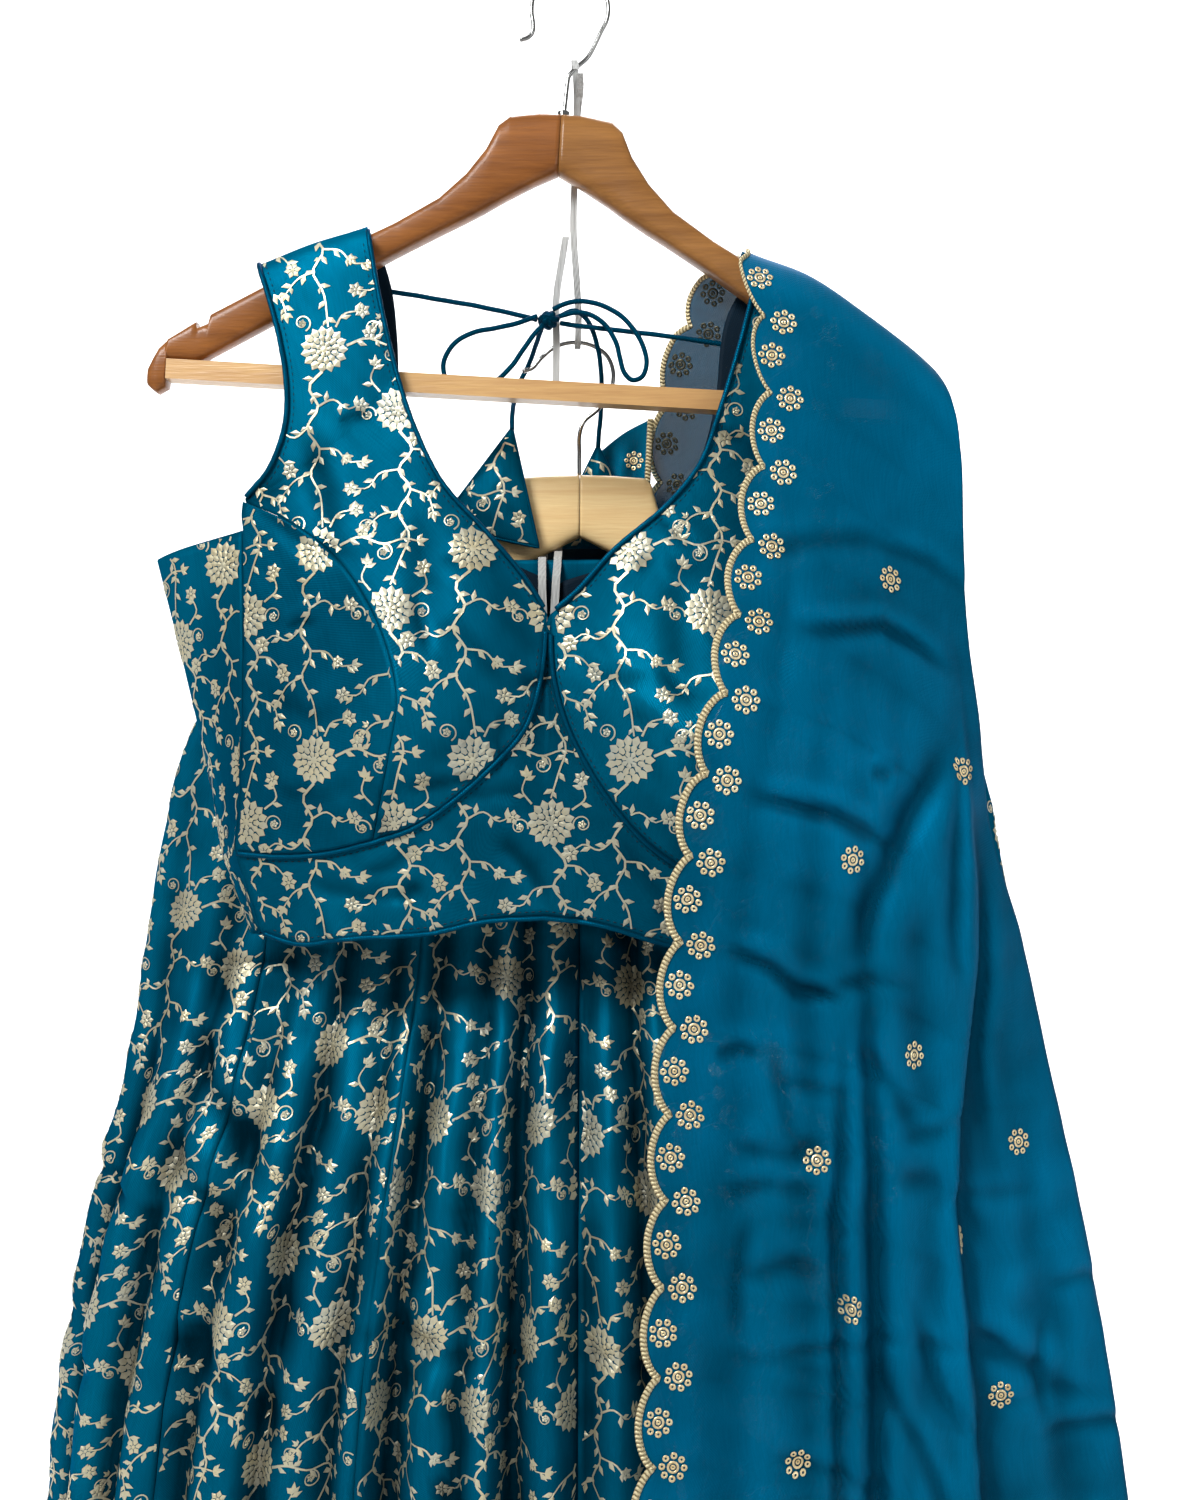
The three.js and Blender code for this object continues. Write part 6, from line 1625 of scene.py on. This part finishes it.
def skirt_grid(first, last, levels, columns):
    """Points of the skirt between two places of its girth: each level is a rounded box (a superellipse)
    drawn in along its folds and creases, with the points evenly spaced along the cloth."""
    sections = 900
    ring = np.stack(rounded_box(math.pi + np.linspace(0, 2 * math.pi, sections + 1), SECTION_POWER), axis=-1)
    rows = []
    folds = skirt_folds()
    for z in levels:
        half, front, back, depth = (float(skirt_level(k, z)) for k in (1, 2, 3, 4))
        line = ring * [half, (back - front) / 2] + [SKIRT_CENTRE_X, (front + back) / 2]
        run = run_of(line)
        place = np.linspace(first, last, 8 * columns + 1)
        here, ahead, behind = (
            points_at(((place + step) % 1) * run[-1], run, line) for step in (0, 0.002, -0.002)
        )
        along = unit(ahead - behind)
        fall = (SKIRT_TOP_Z - z) / (SKIRT_TOP_Z - SKIRT_HEM_Z)
        draw = np.zeros_like(place)
        for top, low, width, deep, lean in folds:
            away = (place - (top + (low - top) * fall) + 0.5) % 1 - 0.5
            wide = width * FOLD_SHARPNESS * (1 + lean * np.tanh(away / width))
            draw += FOLD_GAIN * deep * np.exp(-((away / wide) ** 2))
        draw *= depth
        girth = place * run[-1]
        grown = float(step_between(-z, 420, 640))
        loose = 2.2 * unevenness(girth, 0.22 * z, 46, 31) + 1.1 * unevenness(girth, 0.5 * z, 19, 32)
        draw += grown * loose
        draw += 0.6 * unevenness(girth, z, 33, 33)
        if first < 0.5:
            x = here[:, 0]
            draw += sum(crease(x, z + 0 * x, *spot) for spot in SKIRT_CREASES + SKIRT_WRINKLES)
        x = here[:, 0] - along[:, 1] * draw
        y = here[:, 1] + along[:, 0] * draw
        row = np.stack([x, y, np.full_like(x, z)], axis=-1)
        run = run_of(row)
        rows.append(points_at(np.linspace(0, run[-1], columns + 1), run, row))
    return np.array(rows)


def outward_of(grid, middle_y):
    """A bearing away from the middle of the skirt."""
    flat = 0 * grid[..., 0]
    middle = np.stack([flat + SKIRT_CENTRE_X, flat + middle_y, grid[..., 2]], axis=-1)
    return (grid - middle) * [0.35, 1, 0]


def build_skirt():
    """Twelve flared panels gathered into the band, each with the woven pattern cut to its edges."""
    chance = np.random.default_rng(7)
    for k in range(KALI_COUNT):
        fine, columns = (120, 38) if k < KALI_COUNT / 2 else (60, 26)
        gathers = np.linspace(SKIRT_TOP_Z, GATHERS_END_Z, 22)[:-1]
        levels = np.concatenate([gathers, np.linspace(GATHERS_END_Z, SKIRT_HEM_Z, fine)])
        middle = ((skirt_level(2, levels) + skirt_level(3, levels)) / 2)[:, None]
        margin = SEAM_GAP / 2 / SKIRT_GIRTH
        first, last = k / KALI_COUNT + margin, (k + 1) / KALI_COUNT - margin
        grid = skirt_grid(first, last, levels, columns)
        outward = facing(grid, outward_of(grid, middle))
        piece = cloth(f"kali_{k + 1}_cloth", grid, outward, SKIRT_WALL, SATIN, LINING)
        replace_node(f"kali_{k + 1}")
        shift = [float(chance.uniform(0, pitch)) for pitch in (REPEAT_WIDTH, REPEAT_HEIGHT)]
        embroider_band(f"kali_{k + 1}_zari", grid, outward, SKIRT_TOP_Z - SKIRT_HEM_Z, shift)
    band = np.linspace(WAIST_TOP_Z, SKIRT_TOP_Z + SEAM_GAP, 7)
    grid = skirt_grid(0.0, 1.0, band, 240)[:, :-1]
    raised = np.exp(-(((grid[..., 0] - SKIRT_CENTRE_X) / 90) ** 4)) * step_between(grid[..., 1], 40, 60)
    grid[..., 2] += BACK_WAIST_RISE * raised * np.linspace(1, 0, len(band))[:, None]
    outward = facing(grid, outward_of(grid, 40.0))
    piece = cloth("waistband_cloth", grid, outward, SKIRT_WALL, SATIN, LINING, wrap=True)
    replace_node("waistband")


# Dupatta


def shoulder_z(x):
    """Height of the line over the arm that the dupatta crosses."""
    table = np.array(SHOULDER_LINE)
    return smooth(table[:, 0], table[:, 1], x)


FRONT_CREASES = [
    ([(152, -216), (178, -242), (199, -266)], 3.5, 2.2),
    ([(146, -252), (172, -255), (198, -268)], 4, 2.2),
    ([(150, -320), (190, -330), (222, -352)], 5, 2.6),
    ([(204, -412), (192, -434), (178, -455), (166, -476), (154, -504), (146, -530), (140, -556)], 11, 7.5),
    ([(109, -368), (135, -369), (161, -366), (180, -375), (205, -392)], 5.0, 5.0),
    ([(92, -330), (130, -322), (175, -318)], 7, 2.5),
    ([(84, -450), (113, -457), (132, -461), (152, -472), (169, -484)], 5.0, 5.0),
    ([(150, -440), (158, -441), (164, -444)], 4, 2.5),
    ([(75, -524), (100, -536), (115, -549), (132, -552), (144, -555)], 5.0, 5.5),
    ([(143, -553), (139, -576), (138, -643), (135, -661), (136, -732), (135, -800), (133, -900)], 5.5, 8.0),
    ([(142, -572), (164, -600), (185, -636)], 7, 4.0),
    ([(202, -730), (240, -752), (274, -776)], 8, 5.0),
    ([(71, -580), (86, -577), (100, -581)], 5, 3.0),
    ([(76, -622), (110, -632), (136, -626)], 7, 3.0),
    ([(72, -650), (100, -644), (132, -652)], 6, 2.6),
    ([(150, -640), (190, -652), (230, -700)], 9, 3.5),
    ([(80, -690), (110, -684), (134, -692)], 7, 3.0),
    ([(205, -423), (203, -446), (200, -466), (199, -504), (199, -527), (206, -564)], 6, 4.0),
    ([(214, -478), (217, -521), (219, -552), (215, -589), (226, -660)], 7, 4.0),
    ([(60, -840), (100, -850), (140, -838)], 10, 4.0),
    ([(150, -850), (210, -880), (290, -930)], 12, 6.0),
    ([(90, -900), (86, -1000), (92, -1100)], 12, 6.0),
    ([(190, -960), (196, -1060), (188, -1180)], 14, 7.0),
]


def dupatta_surface(rows, folds, back, step, creases):
    """A stretch of the dupatta: u from the border to the free edge, drop below the shoulder line.

    Between the border and the free edge the cloth turns back by the square of u; bells stand for the
    falling folds, a soft step for the upper layer's edge, and troughs for its wrinkles.
    """
    table = np.array(rows, float)
    longest = table[-1, 0]

    def surface(u, drop):
        u, drop = np.broadcast_arrays(np.asarray(u, float), np.asarray(drop, float))
        border, free, lift, side = (smooth(table[:, 0], table[:, k], drop) for k in (1, 2, 3, 4))
        x = border + (free - border) * u
        fall = drop / longest
        y = lift + (side - lift) * np.clip(u, 0, 1) ** 2
        grown = np.minimum(1, drop / 120)
        for top, low, width, depth, start in folds:
            centre = top + (low - top) * fall
            full = step_between(fall, 0.5 * start, start + 0.12)
            y = y - back * depth * full * grown * np.exp(-(((u - centre) / width) ** 2))
        if step:
            reach = step_between(fall, step["start"], step["end"])
            at = step["at"] + (step["low_at"] - step["at"]) * reach
            strength = step["back"] * step_between(fall, step["start"] * 0.6, step["end"])
            y = y + strength * step_between((u - at) / step["width"], 0, 0.8) * (1 - (u - at) * 0.8)
        top_z = shoulder_z(x)
        z = top_z - drop * (1 + (top_z - SHOULDER_LOW_Z) / longest)
        loose = step_between(drop, 30, 160)
        ripple = 1.6 * unevenness(x, 0.35 * z, 60, 51) + 0.7 * unevenness(x, 0.6 * z, 24, 52)
        ripple = ripple + 0.5 * unevenness(0.5 * x, z, 30, 53)
        troughs = np.zeros_like(x)
        for line, width, depth in creases:
            troughs = troughs + crease(x, z, line, max(0.8 * width, NARROWEST_CREASE), depth)
        return np.stack([x, y - back * loose * ripple - back * loose * troughs, z], axis=-1)

    return surface


def lobe(drop):
    """The scallop's reach beyond its cusps, 0 to 1: a rounded arch a pitch."""
    return np.abs(np.sin(math.pi * drop / SCALLOP_PITCH)) ** 0.6


def border_place(rows, drop, lobes, beyond=0.0):
    """Where the scalloped edge is at each fall, as a share of the width beyond the border line."""
    table = np.array(rows, float)
    width = smooth(table[:, 0], table[:, 2] - table[:, 1], drop)
    on = step_between(drop, 2, SCALLOP_START) * (drop < lobes * SCALLOP_PITCH)
    reach = STRIP_GAP + 1.6 + SCALLOP_DEPTH * on * lobe(drop)
    return -(reach + beyond) / width


def sequin_flower():
    """Ten raised rings, two in the middle and eight round them: an outer and an inner edge and a ridge."""
    parts = []
    spots = [(0, 0, 3.1, 1.9), (0, 0, 1.3, 0.35)]
    for k in range(8):
        angle = k * math.pi / 4
        spots.append((5.5 * math.cos(angle), 5.5 * math.sin(angle), 1.72, 0.6))
    for x, y, outer, hole in spots:
        sides = 12 if x == y == 0 else 8
        profile = ((outer, 0.05), ((outer + hole) / 2, 0.75 if outer > 3 else 0.55), (hole, 0.1))
        rings = [level_ring((x, y), radius, sides, height) for radius, height in profile]
        parts.append((np.concatenate(rings), grid_faces(2, sides, True)))
    return joined(parts)


def build_flowers(name, surface, spots, outward, finish=SEQUIN, lift=0.4, size=1.0):
    """Sequin flowers set on the cloth at places (u, drop), each following the cloth under it."""
    points, faces = sequin_flower()
    u, drop = np.array(spots, float).T
    per_u = (surface(u + 0.02, drop) - surface(u - 0.02, drop)) / 0.04
    per_drop = (surface(u, drop + 3) - surface(u, drop - 3)) / 6
    across = unit(per_u)
    lean = np.sum(per_drop * across, axis=-1, keepdims=True)
    square = per_drop - across * lean
    down = unit(square)
    out = unit(np.cross(across, down))
    out = out * np.sign(np.sum(out * outward, axis=-1, keepdims=True))
    turn = np.random.default_rng(61).uniform(0, 0.8, len(spots))[:, None]
    c, s = np.cos(turn), np.sin(turn)
    px = (points[:, 0] * c - points[:, 1] * s) * size
    py = (points[:, 0] * s + points[:, 1] * c) * size
    fall = py / np.linalg.norm(square, axis=-1, keepdims=True)
    run = (px - fall * lean) / np.linalg.norm(per_u, axis=-1, keepdims=True)
    place = surface(u[:, None] + run, drop[:, None] + fall)
    place = place + (lift + points[:, 2] * size)[None, :, None] * out[:, None]
    flat = place.reshape(-1, 3)
    every = turned_to(out[0], flat, [copied_faces(faces, len(spots), len(points))])
    piece = new_piece(name, flat, every, [finish])


def build_braid(name, surface, rows, lobes, node, outward):
    """The corded braid along the scalloped edge: a flat tube, ridged by its finish."""
    end = lobes * SCALLOP_PITCH
    fine = np.linspace(2.0, end, int(end * 2.2))
    path = surface(border_place(rows, fine, lobes, 0.6), fine)
    run = run_of(path)
    path = points_at(np.linspace(0, run[-1], int(run[-1] / 1.5)), run, path)
    piece = round_cord(name, path + [0, outward * 0.3, 0], BRAID_WIDTH / 4, BRAID, 8, sideways=2.0)
    replace_node(node)


def scallop_flowers(rows, lobes):
    """Places of the border's flowers: one inside each scallop and one further in at each cusp."""
    table = np.array(rows, float)
    spots = []
    for k in range(lobes):
        for share, inward in ((0.5, -2.4), (1.0, 6.2)):
            drop = (k + share) * SCALLOP_PITCH
            width = float(smooth(table[:, 0], table[:, 2] - table[:, 1], drop))
            spots.append((inward / width, drop))
    return spots


FRONT_BUTIS = [
    (166, -341), (141, -483), (176, -584), (125, -634), (242, -640), (141, -706), (204, -684), (226, -766),
    (114, -780), (205, -440), (160, -850), (260, -880), (90, -880), (200, -960), (120, -1010), (280, -1040),
    (170, -1110), (80, -1130), (240, -1160),
]


FRONT_WRINKLES = (
    wrinkles(71, 26, (90, 300), (-1180, -520), (28, 95), (2.8, 5.0), (1.0, 2.6), (-0.3, 0.35))
    + wrinkles(72, 12, (80, 310), (-1180, -420), (60, 160), (4.0, 8.0), (1.6, 3.2), (-1.2, 0.3))
)
BACK_WRINKLES = (
    wrinkles(73, 30, (60, 320), (-1150, -280), (40, 110), (3.5, 6.0), (1.5, 3.5), (-0.2, 0.35))
    + wrinkles(74, 24, (60, 330), (-1150, -300), (90, 220), (6.0, 11.0), (3.0, 6.0), (-1.45, 0.15))
)


FRONT_STRETCH = dict(
    side="front", back=-1, rows=DUPATTA_FRONT_ROWS, folds=DUPATTA_FRONT_FOLDS, step=LAYER_STEP,
    creases=FRONT_CREASES + FRONT_WRINKLES, far=1020, fine=375, columns=86, finish=ORGANZA,
)
BACK_STRETCH = dict(
    side="back", back=1, rows=DUPATTA_BACK_ROWS, folds=DUPATTA_BACK_FOLDS, step=None,
    creases=BACK_WRINKLES, far=980, fine=190, columns=52, finish=ORGANZA_BACK,
)
OVER_ARM = 30


def build_dupatta():
    """Both stretches of the dupatta, the turned corner, the braided edge and the sequin flowers."""
    for stretch in (FRONT_STRETCH, BACK_STRETCH):
        side, back, rows, far, columns = (stretch[key] for key in ("side", "back", "rows", "far", "columns"))
        surface = dupatta_surface(rows, stretch["folds"], back, stretch["step"], stretch["creases"])
        lobes = int(far // SCALLOP_PITCH)
        drops = np.linspace(OVER_ARM, far, stretch["fine"])
        drops = np.concatenate([np.linspace(0, OVER_ARM, 16)[:-1], drops])
        start = border_place(rows, drops, lobes)[:, None]
        u = start + (1 - start) * np.linspace(0, 1, columns + 1)[None, :]
        grid = surface(u, drops[:, None])
        shoulder = 1 - step_between(np.broadcast_to(drops[:, None], u.shape), 2, OVER_ARM)
        towards = np.stack([0 * u, back * np.ones_like(u), 1.5 * shoulder], axis=-1)
        soft = unit(unit(towards) + 0.25 * facing(grid, towards))
        piece = cloth(f"dupatta_{side}_cloth", grid, soft, ORGANZA_WALL, stretch["finish"])
        replace_node(f"dupatta_{side}")
        build_braid(f"scallop_braid_{side}", surface, rows, lobes, f"scallops_{side}", back)
        outward = np.array([0, back, 0.0])
        build_flowers(f"border_flowers_{side}", surface, scallop_flowers(rows, lobes), outward)
        if side == "front":
            x, z = np.array(FRONT_BUTIS, float).T
            plain = surface(np.linspace(0, 1, 61)[None, :], np.linspace(0, far, 200)[:, None])
            across, down, found = find_places(plain, x, z, 14)
            butis = [(a, d * far) for a, d, ok in zip(across, down, found) if ok]
            build_flowers("scattered_flowers_front", surface, butis, outward)
        else:
            spread = [(0.3 + 0.3 * (k % 2) + 0.08 * math.sin(k), 150 + 62 * k) for k in range(13)]
            build_flowers("scattered_flowers_back", surface, spread, outward)
            spread = scallop_flowers(rows, 8) + [(0.25 + 0.3 * (k % 2), 60 + 44 * k) for k in range(8)]
            # the flowers on the wrong side take the darker copy of the sequin finish: partly painted shade
            build_flowers("flowers_through_back", surface, spread, -outward, SEQUIN_BACKS_SHADED, 0.75)
    build_flap()


def build_flap():
    """The turned-over corner of the back stretch beside the neck, with its gold edge."""
    top = [(16, 58, -252), (31, 55, -241), (47.5, 52, -233)]
    bottom = [(6, 58.6, -290), (24, 57, -292), (45, 54.6, -292)]
    left, right = ([top[end], bottom[end]] for end in (0, -1))
    grid = grid_of(blend_edges(left, right, top, bottom), 30, 36)
    x, z = grid[..., 0], grid[..., 2]
    folds = crease(x, z, [(22, -246), (20, -268), (14, -290)], 4, 2.5)
    folds = folds + crease(x, z, [(40, -240), (36, -264), (34, -290)], 4, 2.0)
    grid = moved_back(grid, folds)
    towards = np.array([0, -1.0, 0])
    piece = cloth("dupatta_flap_cloth", grid, facing(grid, towards), ORGANZA_WALL, ORGANZA_FOLDED)
    replace_node("dupatta_flap")
    path = curve_through(grid[::3, -2] + [0, -0.6, 0], 60)
    trim = round_cord("flap_braid", path, BRAID_WIDTH / 4, BRAID, 8, sideways=2.0)
    surface = lambda u, v: sample(grid, np.clip(u, 0, 1), np.clip(v, 0, 60) / 60)
    build_flowers("flap_flowers", surface, [(0.72, 22), (0.55, 46)], towards, size=0.8)


# Parts of the frame that keep their shape


def finish_frame_parts():
    """Materials for the plain parts of the frame: the bar and the cotton tapes."""
    loops = ("tape_loop", "skirt_loop_left", "skirt_loop_right")
    tapes = loops + ("tape_end", "skirt_tape_left", "skirt_tape_right")
    for node, finish in [("hanger_bar", PALE_WOOD)] + [(tape, COTTON) for tape in tapes]:
        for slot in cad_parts[node].material_slots:
            slot.material = finish


place_camera()
light_studio()
build_stage()
for row in LATKANS:
    build_latkan(row)
build_cord("dori_left", DORI_LEFT_ROUTE, 60)
build_cord("dori_right", DORI_RIGHT_ROUTE, 60)
build_cord("dori_loop_left", LOOP_LEFT_ROUTE, 120)
build_cord("dori_loop_right", LOOP_RIGHT_ROUTE, 120)
build_cord("dori_tail_left", TAIL_LEFT_ROUTE, 80)
build_cord("dori_tail_right", TAIL_RIGHT_ROUTE, 80)
build_knot()
build_hangers()
build_choli()
build_skirt()
build_dupatta()
finish_frame_parts()
